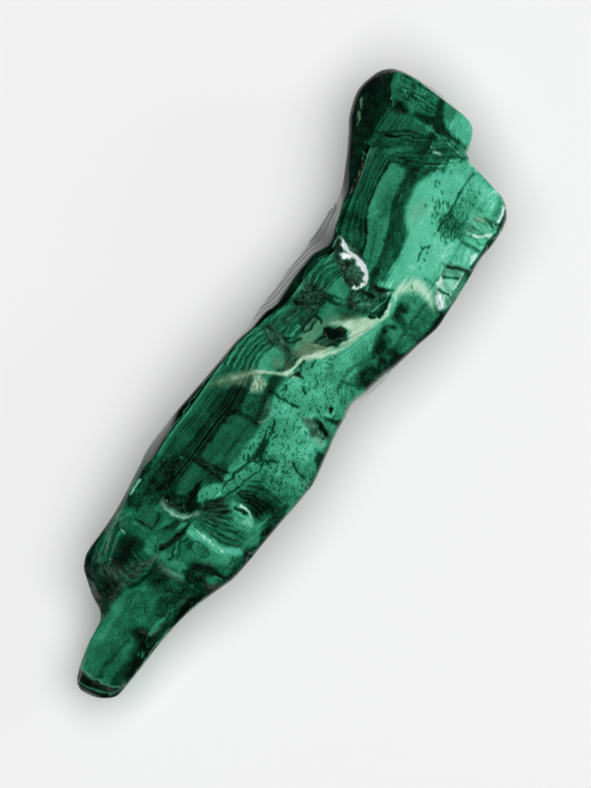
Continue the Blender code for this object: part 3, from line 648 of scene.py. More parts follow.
class Paint:
    """Coats laid in order over the banding, each at a place seen from above.

    Every mark has a tone and a soft, the width over which its edge fades, or for a spot the
    share of its radius. Its cover tells how much it hides, and its other coats go by name.
    """

    def __init__(self, places):
        self.x, self.y = places[..., 0], places[..., 1]
        self.coats = {name: np.zeros(self.x.shape) for name in COATS}
        self.coats["bands"] += 1
        self.coats["lines"] += 1
        self.coats["grain"] += PLAIN_GRAIN
        self.across = np.zeros(self.x.shape)
        self.random = np.random.default_rng(12)

    def lay(self, near, cover, tone, others):
        """A coat hides what lies under it by its cover."""
        fresh = {"tone": tone, "grain": PLAIN_GRAIN, "lines": PLAIN_LINES, **others}
        for name, coat in self.coats.items():
            coat[near] += cover * (fresh.get(name, 0) - coat[near])

    def patch(self, tone, soft, corners, cover=1, **others):
        """A filled outline."""
        near = near_box(self.x, self.y, corners, soft)
        inside = depth_inside(self.x[near], self.y[near], corners)
        self.lay(near, cover * fade(inside, -soft / 2, soft / 2), tone, others)

    def spot(self, tone, soft, shape, cover=1, **others):
        """A filled oval, given as its middle's x and y, half length, half width and turn."""
        x, y, half_length, half_width, _ = shape
        reach = max(half_length, half_width) * (1 + soft)
        near = near_box(self.x, self.y, ((x, y),), reach)
        away = oval(self.x[near], self.y[near], shape)
        self.lay(near, cover * fade(away, 1 + soft / 2, 1 - soft / 2), tone, others)

    def line(self, tone, half_width, soft, points, cover=1, **others):
        """A line of even width."""
        near = near_box(self.x, self.y, points, half_width + soft)
        away = distance_to_line(self.x[near], self.y[near], points)
        inside = fade(away, half_width + soft / 2, half_width - soft / 2)
        self.lay(near, cover * inside, tone, others)

    def comb(self, strength, corners, across, soft=1.4):
        """Fine streaks over what lies inside an outline, told apart by their distance across."""
        near = near_box(self.x, self.y, corners, soft)
        x, y = self.x[near], self.y[near]
        cover = fade(depth_inside(x, y, corners), -soft / 2, soft / 2)
        self.across[near] = np.where(cover > 0, across(x, y), self.across[near])
        self.coats["streaks"][near] += cover * (strength - self.coats["streaks"][near])

    def fan(self, tones, half_width, first, last, count, soft=STROKE_SOFT, cover=0.85, **others):
        """Lines that pass from the first to the last, their tones in turn."""
        for step in range(count):
            points = np.array(first) + (np.array(last) - first) * step / (count - 1)
            strength = cover * self.random.uniform(*STROKE_SHARES)
            self.line(tones[step % len(tones)], half_width, soft, points, strength, **others)

    def strokes(self, corners, count, turn, length, tones, half_width=0.2, cover=0.8, **others):
        """Seeded short strokes inside an outline, all turned much the same way from +X."""
        low, high = np.min(corners, axis=0), np.max(corners, axis=0)
        middles = self.random.uniform(low, high, (STROKE_TRIES * count, 2))
        inside = depth_inside(middles[:, 0], middles[:, 1], corners) > 0
        for middle in middles[inside][:count]:
            angle = np.radians(turn + self.random.normal(0, STROKE_SPREAD))
            direction = np.array([np.cos(angle), np.sin(angle)])
            reach = length * self.random.uniform(*STROKE_REACHES) * direction
            tone = self.random.uniform(*tones)
            share = self.random.uniform(*STROKE_SHARES)
            ends = (middle - reach, middle + reach)
            self.line(tone, half_width * share, STROKE_SOFT, ends, cover * share, **others)


def straight(turn):
    """The distance across streaks that are all turned alike from +X."""
    angle = np.radians(turn)
    return lambda x, y: y * np.cos(angle) - x * np.sin(angle)


def rays(middle_x, middle_y, radius):
    """The distance across streaks that spread from a middle, as it is at one radius."""
    return lambda x, y: radius * np.arctan2(y - middle_y, x - middle_x)


def rings(middle_x, middle_y):
    """The distance across streaks that run round a middle."""
    return lambda x, y: np.hypot(x - middle_x, y - middle_y)


def paint_finger(paint):
    """The slim finger, from its chamfered tip to the valley behind its second joint, with painted light
    along its top, painted shade below and a painted highlight on its lower rim.
    """
    body = ((-76, -3), (-76, 11), (-64, 12), (-57, 10), (-53, 8.8), (-47, 7), (-47, -9), (-60, -6))
    paint.patch(0.45, 1, body, grain=0.8)
    # Painted light: the finger's top edge is lighter, as where the light falls on it.
    paint.patch(0.58, 2, ((-75, 8.4), (-62, 7.8), (-57, 7.4), (-57, 9.4), (-64, 10.2), (-75, 9.8)))
    paint.line(0.27, 0.4, 1.4, ((-76, 4.2), (-70, 3.8), (-66, 3.2), (-62, 2.6)))
    # Painted shade, partly the stone's own tone: the lower side and the valleys are darker.
    paint.patch(0.22, 2, ((-75, 1.4), (-66, 0.8), (-60, 1.8), (-60, -4), (-75, -3)))
    paint.spot(0.42, 0.9, (-70.5, 2.2, 3.2, 0.8, -8))
    paint.strokes(body, 60, -4, 2.6, (0.26, 0.54), cover=0.3)
    paint.comb(0.12, body, straight(-4))
    paint.patch(0.09, 2.6, ((-72, -0.4), (-63, 0.4), (-61, 2.8), (-61, -4), (-72, -3.4)))
    paint.spot(0.11, 1.3, (-62, 0.2, 1, 2.8, 0))
    paint.strokes(
        ((-66, -0.6), (-61, -1), (-61, -2.6), (-66, -2.2)), 8, 20, 0.7, (0.3, 0.5), 0.16, cover=1)
    paint.line(0.5, 0.4, 1, ((-60.2, 5.4), (-59.2, 4), (-58.8, 2.6), (-59.2, 1.4)))
    paint.line(0.52, 0.3, 1, ((-56.4, 9), (-54.4, 8), (-53.4, 6.6), (-53.6, 5.4)))
    paint.patch(0.24, 2, ((-57, 1), (-50, 2), (-47, -1), (-47, -6), (-56, -4)), grain=1.2)
    paint.strokes(
        ((-58, 8), (-52, 7), (-49, 3), (-49, -3), (-56, -3)), 70, 10, 0.9, (0.18, 0.52), 0.16, cover=0.7)
    # The lower edge goes near black, partly the stone's own tone and partly painted shade.
    paint.patch(
        0.03, 1.4, ((-57, -3.4), (-50, -4.4), (-45, -6), (-41, -9.2), (-41, -12), (-50, -8), (-60, -6)))
    paint.patch(0.2, 1, ((-61, -2), (-56, -2.6), (-56, -4.4), (-61, -3.6)))
    paint.patch(0.62, 0.6, ((-61, -0.5), (-58.5, -0.4), (-55.4, -2), (-57.2, -1.8), (-61, -1.5)))
    paint.patch(0.22, 2.8, ((-52, 7), (-47, 7), (-47.6, 3), (-47, -1), (-49, -3), (-51.4, 1)), grain=1.2)
    paint.strokes(
        ((-57, -2.6), (-47, -3), (-43, -7), (-47, -7.4), (-57, -4.6)), 30, -20, 0.8, (0.02, 0.3), 0.16,
        cover=0.6)
    paint.patch(0.08, 0.8, ((-82, 10), (-76.4, 10), (-76.5, 5), (-75.6, 0.6), (-74.4, -3), (-82, -3)))
    paint.strokes(
        ((-79, 8), (-77, 8.6), (-76.6, 4), (-76, 1), (-78.6, 2)), 14, 70, 1.4, (0.1, 0.26), 0.12,
        cover=0.7)
    paint.line(
        0.6, 0.2, 0.3, ((-78.7, 8), (-78.8, 5.8), (-78.3, 3.4), (-77.4, 1), (-76.4, -1)), cover=0.8,
        earth=0.3)
    paint.line(
        0.64, 0.2, 0.3, ((-75.9, 9.2), (-76.2, 5.4), (-76, 2.2), (-75.2, 0), (-74, -1.6)), cover=0.8,
        earth=0.3)
    paint.line(0.4, 0.3, 0.8, ((-77.4, 0), (-75.6, -1.3), (-73, -1.4)), earth=0.8)
    # A painted highlight: a thin pale line along the lower rim, where it catches the light.
    paint.line(0.7, 0.1, 0.4, (
        (-74, -1.6), (-68, -2.5), (-60, -3.9), (-54.8, -4.9), (-51, -6), (-47, -7.2), (-43, -9),
        (-38.8, -10.5), (-34.6, -11.2),
    ), earth=0.7)


def paint_lobes(paint):
    """The lobes behind the finger, with the streaked side, the fluted dip and the arcs."""
    paint.patch(0.42, 0.8, (
        (-56.5, 9.8), (-54, 9), (-46.4, 7.2), (-42, 6.4), (-36, 5.2), (-34, 7), (-35, 12), (-36, 15),
        (-38, 18), (-34, 22), (-56, 22), (-60, 16), (-59, 11),
    ))
    side = ((-62.6, 10.2), (-57, 10.2), (-54, 11), (-51.6, 14), (-51.8, 18), (-53, 22), (-62, 21))
    paint.patch(0.14, 1.4, side, earth=0.25, grain=1)
    paint.strokes(side, 50, 58, 3.4, (0.04, 0.36), 0.25, earth=0.1)
    paint.comb(0.4, side, straight(58))
    paint.strokes(
        ((-56, 11.6), (-54, 12), (-52.4, 17), (-53.4, 19), (-55, 16)), 14, 66, 2.2, (0.16, 0.36), 0.22,
        cover=1, earth=0.8)
    paint.patch(0.14, 2.2, ((-52, 12), (-46, 11.4), (-43.4, 13), (-44, 16), (-48, 16.8), (-52, 15.4)))
    paint.spot(0.07, 1, (-46.2, 14.4, 1.8, 1, -40))
    paint.patch(0.25, 1.2, ((-54.6, 9.4), (-46.6, 7.4), (-45.6, 10.4), (-47, 12), (-54, 12)))
    paint.fan(
        (0.46, 0.08), 0.26, ((-52.4, 7.9), (-53.4, 9.2), (-53.2, 10.8), (-52.4, 12.8)),
        ((-46.4, 7.9), (-47.2, 9.2), (-46.4, 10.8), (-44.6, 12.4)), 9, cover=0.65)
    flutes = ((-54, 8.4), (-46.4, 7.4), (-45.4, 12), (-53.4, 12.4))
    paint.strokes(flutes, 24, 60, 1.6, (0.02, 0.44), 0.22, cover=0.6)
    paint.comb(0.35, flutes, straight(62))
    paint.line(0.46, 0.2, 0.6, ((-52.4, 8.3), (-50, 7.6), (-48, 7.4), (-46.2, 7.6)))
    paint.line(0.12, 0.4, 1, ((-54.6, 8.6), (-52, 7.5), (-49.6, 6.7), (-46.8, 6.6)))
    paint.line(
        0.5, 1, 1, ((-52, 17.4), (-48, 18.2), (-43.4, 19.2), (-39.6, 17.6), (-36.8, 14.8), (-34.8, 12)))
    paint.fan(
        (0.64, 0.26, 0.5, 0.2), 0.2, ((-52.6, 15.4), (-49, 16.4), (-45, 17), (-42.6, 15.4), (-41.6, 12)),
        ((-54, 19.4), (-49, 20), (-43, 20), (-38.6, 18.4), (-35, 13)), 7, cover=0.7)
    paint.comb(
        0.4, ((-54, 16), (-44, 17), (-40, 12), (-35, 13), (-38.6, 18.4), (-43, 20), (-54, 20)),
        rings(-46, 9))
    paint.strokes(
        ((-53, 16.6), (-46, 17.4), (-42, 18.6), (-42, 20.4), (-54, 20.6)), 50, 12, 2.2, (0.12, 0.62),
        0.16, cover=0.7)
    paint.line(0.24, 0.3, 0.9, ((-51, 16.4), (-47.4, 17.2), (-44.6, 17.8), (-43.2, 16.6), (-42.7, 14)))
    # A painted glint on the lobe.
    paint.line(0.9, 0.14, 0.4, ((-44.3, 16), (-43.9, 17)), earth=0.5)
    paint.line(0.14, 0.4, 0.8, ((-55, 20), (-50, 20.5), (-44, 20.3), (-38, 20.2)))
    paint.line(0.6, 0.12, 0.3, ((-46, 20.6), (-42, 20.4), (-39, 20.3)), earth=0.6, cover=0.6)
    paint.patch(0.42, 1.4, ((-43.6, 11), (-36, 11), (-35.6, 13), (-38, 16.4), (-42.8, 17.6)))
    paint.line(0.56, 0.2, 0.6, ((-41, 15.4), (-40.8, 13.6), (-41, 12)))
    paint.line(0.15, 0.22, 0.5, ((-40.2, 15.6), (-39.9, 13.4), (-40, 11.2), (-38, 11), (-36, 11.5)))
    paint.line(0.53, 0.25, 0.6, ((-39.4, 10.3), (-37.8, 9.6), (-36.4, 8.4), (-35.4, 7.9)))
    paint.patch(0.17, 1.2, ((-38.6, 9.2), (-36.6, 8.2), (-34.8, 7.7), (-35.2, 6.6), (-38, 6.8)))
    paint.patch(0.55, 1.4, ((-46, 11), (-42, 11), (-40, 8), (-42.8, 7.4), (-46, 7.4)), grain=1)
    paint.strokes(((-46, 12), (-41, 12), (-39, 8), (-46, 7.4)), 16, 40, 0.8, (0.2, 0.6), 0.16, cover=1)
    paint.spot(0.16, 1, (-45, 12, 1.6, 1.2, 0), cover=0.8)


def paint_knuckle(paint):
    """The knuckle where the finger joins the body: a light lump, an eye and dark creases, with painted
    shadow down one crease and a painted highlight along the crack.
    """
    paint.patch(0.46, 0.8, ((-46.8, 7), (-34, 5), (-33, -8), (-40, -9), (-46, -5)))
    paint.patch(0.6, 1.2, ((-45.8, 6.6), (-43.4, 7), (-43.4, 1), (-44.4, -1), (-45.6, 0.6)), grain=0.8)
    paint.patch(0.17, 1.2, ((-46.8, -0.6), (-43, -0.2), (-41, -3), (-41, -9), (-46.8, -7)), grain=1.2)
    paint.strokes(((-47, 0), (-43, 0), (-41, -4), (-42, -8), (-47, -6)), 50, 75, 1.3, (0.06, 0.4), 0.18)
    paint.patch(0.6, 1.6, ((-40, 2.6), (-36.4, 3.8), (-34.8, -5), (-34.6, -9), (-38, -9), (-40.4, -2)))
    # Painted shadow down the crease between the lumps.
    paint.line(0.1, 0.7, 1.2, ((-42.4, -1), (-41.2, -4), (-41.3, -8)))
    paint.spot(0.52, 0.9, (-43, -6.2, 1, 1.4, 20))
    paint.line(0.58, 0.2, 0.3, ((-42, -6), (-41.8, -8)))
    for side in (-1, 1):
        turns = np.linspace(-1.5, 1.2, 7)
        arc = [(-38.5 + side * 1.2 * math.cos(a), 2.4 * math.sin(a) - 0.1) for a in turns]
        paint.line(0.26, 0.2, 0.6, arc, cover=0.8)
    paint.spot(0.42, 0.9, (-38.4, -0.6, 0.8, 1.6, 0))
    paint.spot(0.28, 0.9, (-38.9, 2.2, 1.1, 0.9, 0))
    paint.strokes(((-37.2, 4), (-34.2, 3.6), (-34.6, -6.4), (-37.2, -6.4)), 34, 86, 1.8, (0.44, 0.9))
    # A painted highlight along the crack.
    paint.line(0.6, 0.2, 0.5, ((-42.3, 4.1), (-40.1, 4.6), (-38.6, 4.1), (-36.4, 4.1)))
    paint.patch(0.03, 0.5, (
        (-43.6, 7.4), (-42.4, 7.6), (-41.2, 6.7), (-39.4, 6.1), (-37, 5.5), (-34.4, 5.2), (-34.4, 4.6),
        (-38, 4.7), (-41, 5.2), (-43, 6.4),
    ))
    paint.line(0.04, 0.12, 0.4, ((-44.4, 4.4), (-43, 4.3), (-41.6, 4.9)))
    paint.patch(0.64, 0.5, ((-37.2, 6.5), (-35.2, 6.2), (-34.4, 5), (-36, 5.2)))
    paint.patch(0.2, 1.8, (
        (-46, -7.8), (-41, -8.6), (-36, -8.8), (-30, -10.6), (-22, -10.4), (-18, -13), (-18, -16),
        (-40, -13),
    ), grain=1.2)
    paint.strokes(
        ((-42, -7), (-35, -7), (-22, -9.6), (-17, -13), (-32, -12), (-42, -10)), 90, -10, 0.9,
        (0.05, 0.6))


def paint_dome(paint):
    """The knuckle's ridge with a painted highlight along it, the fanned dome beside it, the dark hollow at
    its foot and painted glints on the slot's rims.
    """
    paint.patch(0.42, 0.9, (
        (-33.4, 4.4), (-28.6, 4), (-26.4, 2), (-23.6, 0), (-24, -8), (-31, -9.6), (-34.6, -7), (-34.4, 0),
    ), grain=0.8)
    paint.patch(0.18, 1.6, ((-32.4, 4.2), (-28.6, 3.8), (-25, 1), (-27.5, -1.4), (-31, -0.6)), earth=0.3)
    paint.fan(
        (0.12, 0.56), 0.2, ((-32.6, 4.2), (-34, 0), (-34.4, -4), (-33.6, -8.4)),
        ((-31, 4), (-28.8, 1.6), (-27, -0.4), (-25, -1.6)), 13, cover=0.7)
    paint.comb(0.5, (
        (-33, 4.4), (-34.6, 0), (-34.6, -7), (-31, -9.4), (-28, -7), (-27, -2), (-24.6, -0.6), (-28.6, 4),
    ), rays(-31.6, 7.4, 7))
    # A painted highlight along the ridge's crest, with a white glint line on it.
    paint.line(
        0.9, 0.8, 1.4, ((-36.2, 3.8), (-35.8, 0), (-36, -4), (-35.6, -6.4), (-34.4, -8.6)),
        cover=0.9)
    paint.line(1, 0.24, 0.5, ((-35.2, 2.2), (-35.5, -0.6), (-35.9, -3), (-36.2, -5.4)), earth=0.2)
    paint.strokes(
        ((-37, 4), (-34.2, 3.6), (-34.4, -6.4), (-37, -6.4)), 16, 86, 1.4, (0.6, 0.95), cover=0.6)
    paint.comb(0.3, ((-37.4, 4), (-34.2, 3.6), (-34.4, -6.4), (-37.4, -6.4)), straight(86))
    paint.patch(0.66, 1.6, ((-29.4, -5), (-26.6, -1), (-24.2, -1), (-24.2, -3.4), (-26, -8), (-29, -9)))
    paint.strokes(((-30, -4), (-24.4, -1), (-26, -9), (-30, -9)), 26, 65, 1, (0.4, 0.9), 0.14, cover=0.7)
    paint.patch(0.92, 1.4, ((-28.4, -5), (-26.8, -5.8), (-26.2, -7.4), (-28, -8)), earth=0.15, cover=0.8)
    paint.patch(0.56, 1.2, ((-32.6, -8.6), (-28, -8.2), (-28.6, -11), (-31, -11.4)))
    hollow = (
        (-23.4, -0.6), (-21.8, -3), (-20.7, -6), (-19.9, -9.4), (-20.8, -11), (-22.5, -10.4),
        (-24.9, -8.6), (-25.4, -7.2), (-24.2, -4),
    )
    paint.patch(0.09, 3, hollow)
    paint.strokes(hollow, 30, 84, 1.8, (0, 0.26), cover=0.7)
    outer = ((-21.6, -1), (-20.4, -3.4), (-19.6, -6), (-19.8, -8.8), (-20.6, -11))
    paint.fan(
        (0.02, 0.28), 0.22, ((-22.8, -1), (-21.8, -3.4), (-21.2, -6), (-21.4, -8.8), (-22.2, -10.8)),
        outer, 4)
    paint.comb(0.4, hollow, rings(-31, -5.6))
    # Painted glints on the slot's two rims.
    paint.line(0.94, 0.18, 0.5, ((-26.5, -2.6), (-26.7, -5.6)))
    paint.line(0.95, 0.34, 0.7, ((-24.7, -3), (-25.1, -5.2), (-26, -6.8)), earth=0.35)
    paint.line(1, 0.14, 0.4, ((-24.7, -3.2), (-25.1, -5)), earth=0.8)
    paint.line(0.1, 0.3, 0.4, ((-25.9, -2.4), (-25.8, -5.2)))


def paint_lip(paint):
    """The rough hollow beside the knuckle and its crescent lip, painted pale as lit, with a painted
    highlight on its outer rim.
    """
    lip_hollow = (
        (-33.2, 13.2), (-30.6, 12.8), (-30, 10), (-29, 8.4), (-25.6, 7.3), (-25.2, 6.8), (-27.4, 6.5),
        (-29.6, 5.9), (-30, 4.2), (-32.2, 4.4), (-33.4, 6.6), (-33.6, 9.4),
    )
    paint.patch(0.1, 1.2, lip_hollow)
    paint.strokes(lip_hollow, 30, 80, 1.2, (0, 0.34), cover=0.7)
    paint.strokes(
        ((-32.8, 12.6), (-31.4, 12.6), (-30.8, 8), (-32, 5.6), (-32.8, 7)), 12, 70, 0.9, (0.3, 0.6), 0.12,
        cover=0.7, earth=0.5)
    lip = ((-33.2, 12.9), (-34.1, 11.2), (-34.35, 9.2), (-34.1, 7.2), (-33.4, 5.6), (-32, 4.3))
    # Painted light: the lip is pale where it catches the light, with a painted highlight along its outer
    # rim.
    paint.line(0.58, 0.6, 0.8, lip, earth=0.45)
    paint.line(0.86, 0.22, 0.5, [(x - 0.2, y) for x, y in lip[1:5]], earth=0.4, cover=0.9)
    paint.line(0.46, 0.2, 0.5, ((-34.8, 10.8), (-35, 8.6), (-34.6, 6.8)))


def paint_strip(paint):
    """The -X half of the body: the dark banded strip and the middle patches below it."""
    rough = ((-38, 14.6), (-33.4, 13), (-26, 12.6), (-24, 17), (-25, 20), (-38, 22))
    paint.patch(0.26, 1.8, rough, grain=1.2)
    paint.strokes(rough, 90, 8, 1.2, (0.04, 0.5))
    paint.patch(
        0.08, 1.8, ((-33, 16.6), (-27, 17.2), (-21, 14.4), (-22, 12.6), (-30, 12.2)), grain=1, cover=0.85)
    # A painted glint near the ridge.
    paint.line(1, 0.24, 0.6, ((-36, 19.1), (-34, 19.3), (-31.8, 19.1)), earth=0.2)
    paint.line(0.36, 0.2, 0.6, ((-33, 18.2), (-29, 17.8), (-27, 17.2)))
    paint.patch(-0.13, 1.2, (
        (-26, 14.4), (-14, 14.6), (-6, 14.4), (-2, 12.8), (-1, 10.4), (-2, 9.2), (-7, 8.8), (-10, 9.8),
        (-14, 10.4), (-26, 11.2),
    ), bands=1, lines=0.7)
    paint.patch(
        -0.16, 1.4, ((-10, 12.8), (-3, 12.4), (-1, 10), (-2.4, 8.9), (-7, 8.7), (-9, 9.8)), bands=1,
        lines=0.5, cover=0.9)
    paint.fan(
        (0.12, 0.36, 0.18, 0.28), 0.13, ((-26, 11.2), (-18, 10.8), (-9, 10.2), (-3, 9.6)),
        ((-26, 18.2), (-18, 18), (-8, 16.6), (2, 15.6)), 10, cover=0.5)
    paint.spot(0.5, 0.5, (-22.3, 13.8, 0.3, 0.5, 0))
    paint.patch(0.36, 0.9, (
        (-30, 11.2), (-26, 11.5), (-22.2, 10.8), (-21.6, 8.4), (-22.6, 6.2), (-25.6, 7), (-28.6, 8.3),
        (-29.9, 9.4),
    ))
    paint.patch(0.36, 0.5, ((-21, 10.3), (-11, 10.3), (-8.6, 9.5), (-6.8, 8.6), (-6.6, 4), (-21, 4.2)))
    paint.line(0.24, 0.2, 0.7, ((-19.4, 5.3), (-15, 5.5), (-11, 5.2), (-7, 4.7)))
    paint.line(0.28, 0.15, 0.8, ((-18, 9.6), (-16.6, 8), (-16.4, 6)), cover=0.6)
    paint.line(0.2, 0.15, 0.5, ((-10.4, 10), (-9.6, 9.2), (-9.4, 8.4)), cover=0.8)
    paint.patch(0.44, 1.6, ((-22, 4.6), (-14, 4.8), (-7, 4.2), (-7, 3), (-14, 3.4), (-22, 3.2)), cover=0.8)
    paint.patch(0.68, 0.7, (
        (-29.6, 5.4), (-28, 6.3), (-26, 6), (-24, 4.8), (-22.8, 3.2), (-25, 2.8), (-26.6, 3.6),
        (-28.8, 4.5),
    ))
    for x, y in ((-26.8, 4.4), (-25.0, 4.6), (-27.8, 5.2), (-24.4, 3.4)):
        paint.spot(0.3, 0.8, (x, y, 0.25, 0.2, 0))
    paint.patch(0.34, 0.9, ((-26, 6.6), (-22.4, 6.4), (-22.4, 3.2), (-23.8, 4.8)))
    paint.patch(0.22, 1.6, ((-24.4, 6.8), (-19, 6.4), (-17.6, 4.6), (-19.6, 2.8), (-23, 3.4)), cover=0.8)
    paint.patch(
        0.04, 0.5,
        ((-30, 7), (-28.8, 8.7), (-27.6, 8), (-25.6, 7.7), (-24, 6.9), (-26.6, 6.9), (-28.4, 6.6)))
    column = ((-22.4, 3.4), (-22.2, 6.4), (-21.4, 12), (-20.2, 12), (-20.4, 8), (-19.6, 3))
    paint.patch(0.26, 1.6, column, earth=0.2, cover=0.5, grain=1.2)
    paint.fan(
        (0.06, 0.3), 0.15, ((-22.2, 3.2), (-21.9, 6.4), (-21.6, 9), (-21.2, 12.8)),
        ((-19.6, 2.8), (-20.2, 6), (-20.2, 8.6), (-19.8, 11.4)), 7, cover=0.8, earth=0.15)
    paint.line(
        0.04, 0.3, 0.9, ((-22, 3.2), (-21.8, 5.2), (-21.9, 7.4), (-21.5, 9.2), (-21.3, 12.6)), cover=0.85)
    paint.line(0.06, 0.24, 0.7, ((-19.8, 3), (-20.2, 4.8), (-20.1, 6.8)), cover=0.9)
    paint.patch(0.2, 1.4, ((-7.4, 8.6), (-5.9, 8.8), (-6, 3.6), (-7.2, 3.4)))
    paint.line(0.1, 0.2, 0.8, ((-6.4, 9), (-6.3, 6.4), (-6.5, 3.6)))
    paint.patch(0.34, 0.9, ((-5.8, 8.6), (-0.8, 8.8), (0.6, 5.2), (-1, 4), (-5.8, 4)), grain=1)
    paint.strokes(((-6.4, 8.4), (0, 8.6), (0.6, 5), (-6, 4)), 26, 25, 1.2, (0.14, 0.5), cover=0.7)
    paint.patch(
        0.38, 1.8, ((-5.8, 4.2), (-0.4, 4.6), (-0.8, 3), (-3, 2.4)), sand=0.3, cover=0.8, grain=1.2)
    paint.line(0.7, 0.22, 0.6, ((-6.1, 3.2), (-4.6, 2.2), (-3, 1.6)), sand=0.8)
    paint.line(0.17, 0.4, 0.8, ((-5.6, 4.4), (-3, 4.5), (-0.4, 5), (1.4, 5.2)))


def paint_speckled_zone(paint):
    """The speckled light zone of the -X half, down to its edge."""
    paint.patch(0.69, 1.2, (
        (-23, 2.8), (-20, 3.4), (-8, 2.6), (-3, 1.8), (2, 3.2), (6, 2.2), (12, 0.2), (17, -4), (14, -8.6),
        (4, -11), (-8, -11.6), (-17, -11.6), (-18.4, -7), (-19, -3), (-23.4, 0.4),
    ), speckle=0.9, grain=0.9, lines=0)
    rim = ((-20.6, -1.8), (-18, -3.4), (-16.8, -7), (-17.6, -11.6), (-20.6, -11.6))
    paint.patch(0.32, 2.4, rim, grain=1)
    paint.fan(
        (0.2, 0.58), 0.22, ((-20.4, -1.4), (-19.2, -3.6), (-18.6, -6), (-18.8, -8.8), (-19.6, -11)),
        ((-18.4, -1.8), (-17.2, -3.8), (-16.6, -6), (-16.8, -8.8), (-17.6, -11)), 4)
    paint.comb(0.5, rim, rings(-31, -5.6))
    paint.patch(
        0.56, 2, ((-17, -2.6), (-15, -3.4), (-14.6, -10.6), (-19, -12), (-18, -7)), speckle=1, grain=1,
        lines=0)
    paint.patch(
        0.76, 3, ((-2, 1), (4, 2.4), (10, 0.6), (14, -3), (9, -6), (-2, -5), (-5, -3)), speckle=0.7,
        grain=0.9, lines=0)
    paint.patch(
        0.58, 1.6, ((-24, 1.6), (-20, 0.6), (-15, -0.4), (-15, -2.2), (-20, -2), (-24, 0.4)), speckle=0.8,
        cover=0.8)
    paint.patch(
        0.58, 1.8, ((-13, 1.6), (-8, 1.4), (-4, 1.4), (-3, -0.6), (-12, -2)), speckle=0.9, cover=0.8)
    paint.patch(0.12, 0.6, (
        (-14.6, 0.6), (-13, 0), (-10, 0.6), (-6.4, 0.8), (-8.6, 0), (-9.8, -0.9), (-12.4, -1.1),
        (-13.8, -0.6),
    ), cover=0.9)
    paint.patch(0.8, 2.4, ((-10, -4), (2, -4.6), (4, -9.4), (-8, -11)), speckle=0.9, grain=1, lines=0)
    edge = ((-19, -11.2), (-8, -11.6), (4, -11), (13, -10.2), (13, -16), (-20, -16))
    paint.patch(0.6, 1.8, edge, speckle=0.8, grain=1, lines=0)
    paint.patch(0.8, 1.6, ((-6, -9.6), (-2.6, -9), (-2.8, -13), (-6, -13)), speckle=0.6)
    paint.patch(
        0.44, 1.2, ((-21, -12.8), (-10, -14), (2, -13.2), (9, -13.2), (9, -16), (-21, -16)), grain=1.4)
    paint.strokes(
        ((-20, -10.6), (-4, -11.4), (12, -10), (12, -13), (-14, -14.4)), 110, 40, 0.8, (0.2, 0.95),
        cover=0.7)
    paint.line(0.66, 0.4, 1.4, ((-11.2, -9.8), (-9, -11.4), (-5, -11.8)))
    dip = ((-0.2, -4.6), (1.3, -7.8), (0.8, -10), (-0.8, -13), (-2.2, -11), (-3, -8.6), (-1.6, -6.4))
    paint.patch(0.4, 1.4, dip, earth=0.35, grain=1.2)
    paint.strokes(dip, 16, 70, 1.2, (0.12, 0.6), 0.16, earth=0.3)
    paint.patch(0.08, 0.7, ((1, -6.8), (0.9, -9.2), (-0.6, -12), (-1.4, -12.4), (-0.6, -9.4)))
    paint.patch(0.16, 0.9, ((1.8, -8.4), (2.8, -10), (3.8, -13.2), (2.2, -13.2), (2, -11)))
    paint.spot(0.66, 0.8, (0.9, -11, 0.7, 1.2, 0))
    paint.patch(
        0.74, 1.2, ((-3.8, -9.6), (-2.8, -9.4), (-2.4, -12.2), (-3.8, -12.2)), earth=0.35, speckle=0.8,
        cover=0.7)
    paint.patch(0.22, 0.9, ((-7, -12), (-4.8, -12), (-5, -14.4), (-8, -14.4)))
    paint.spot(0.04, 0.5, (4.7, -9.4, 0.8, 0.6, 0))
    paint.spot(0.84, 0.8, (4.6, -10.3, 0.8, 0.3, 0))
    paint.line(0.18, 0.2, 0.5, ((-10, -8.4), (-10.8, -9.4), (-11.5, -10.6), (-11.6, -12.6)))


def paint_arcs(paint):
    """The arcs under the ridge, and the beige patch below them."""
    paint.patch(0.46, 1.2, ((3, 10), (10.8, 9.6), (12, 12), (13.6, 14.4), (4, 16.4), (1, 13)))
    paint.fan(
        (0.18, 0.6), 0.2, ((3, 9.9), (5, 10.4), (8, 10.4), (10.8, 9.4)),
        ((1, 16.6), (6, 16.4), (10, 15.8), (14.4, 14.2)), 11, cover=0.75)
    paint.comb(0.5, ((3, 9.9), (8, 10.4), (10.8, 9.4), (14.4, 14.2), (6, 16.4), (1, 16.6)), rings(5, -22))
    paint.strokes(((4, 16), (6, 16.2), (12.6, 12), (11, 9)), 24, -50, 1.6, (0.3, 0.75), 0.1, cover=0.5)
    patch = ((4, 9.9), (8, 10.1), (10.7, 9.2), (10.2, 7.4), (9.2, 5.2), (7.4, 4.8), (5.4, 6))
    paint.patch(0.66, 0.6, patch)
    for step in range(5):
        y = 9.2 - 0.85 * step
        paint.line(0.56, 0.12, 0.5, ((4.6, y - 0.4), (7.4, y), (10.2, y - 0.8)), cover=0.6)
    paint.spot(0.6, 1, (7.6, 6.4, 1.4, 1.2, 0), sand=0.4)
    paint.patch(0.34, 1, ((6, 4.9), (9.6, 5), (10.6, 4), (9.6, 3.2), (6.8, 3.4)), sand=0.5)


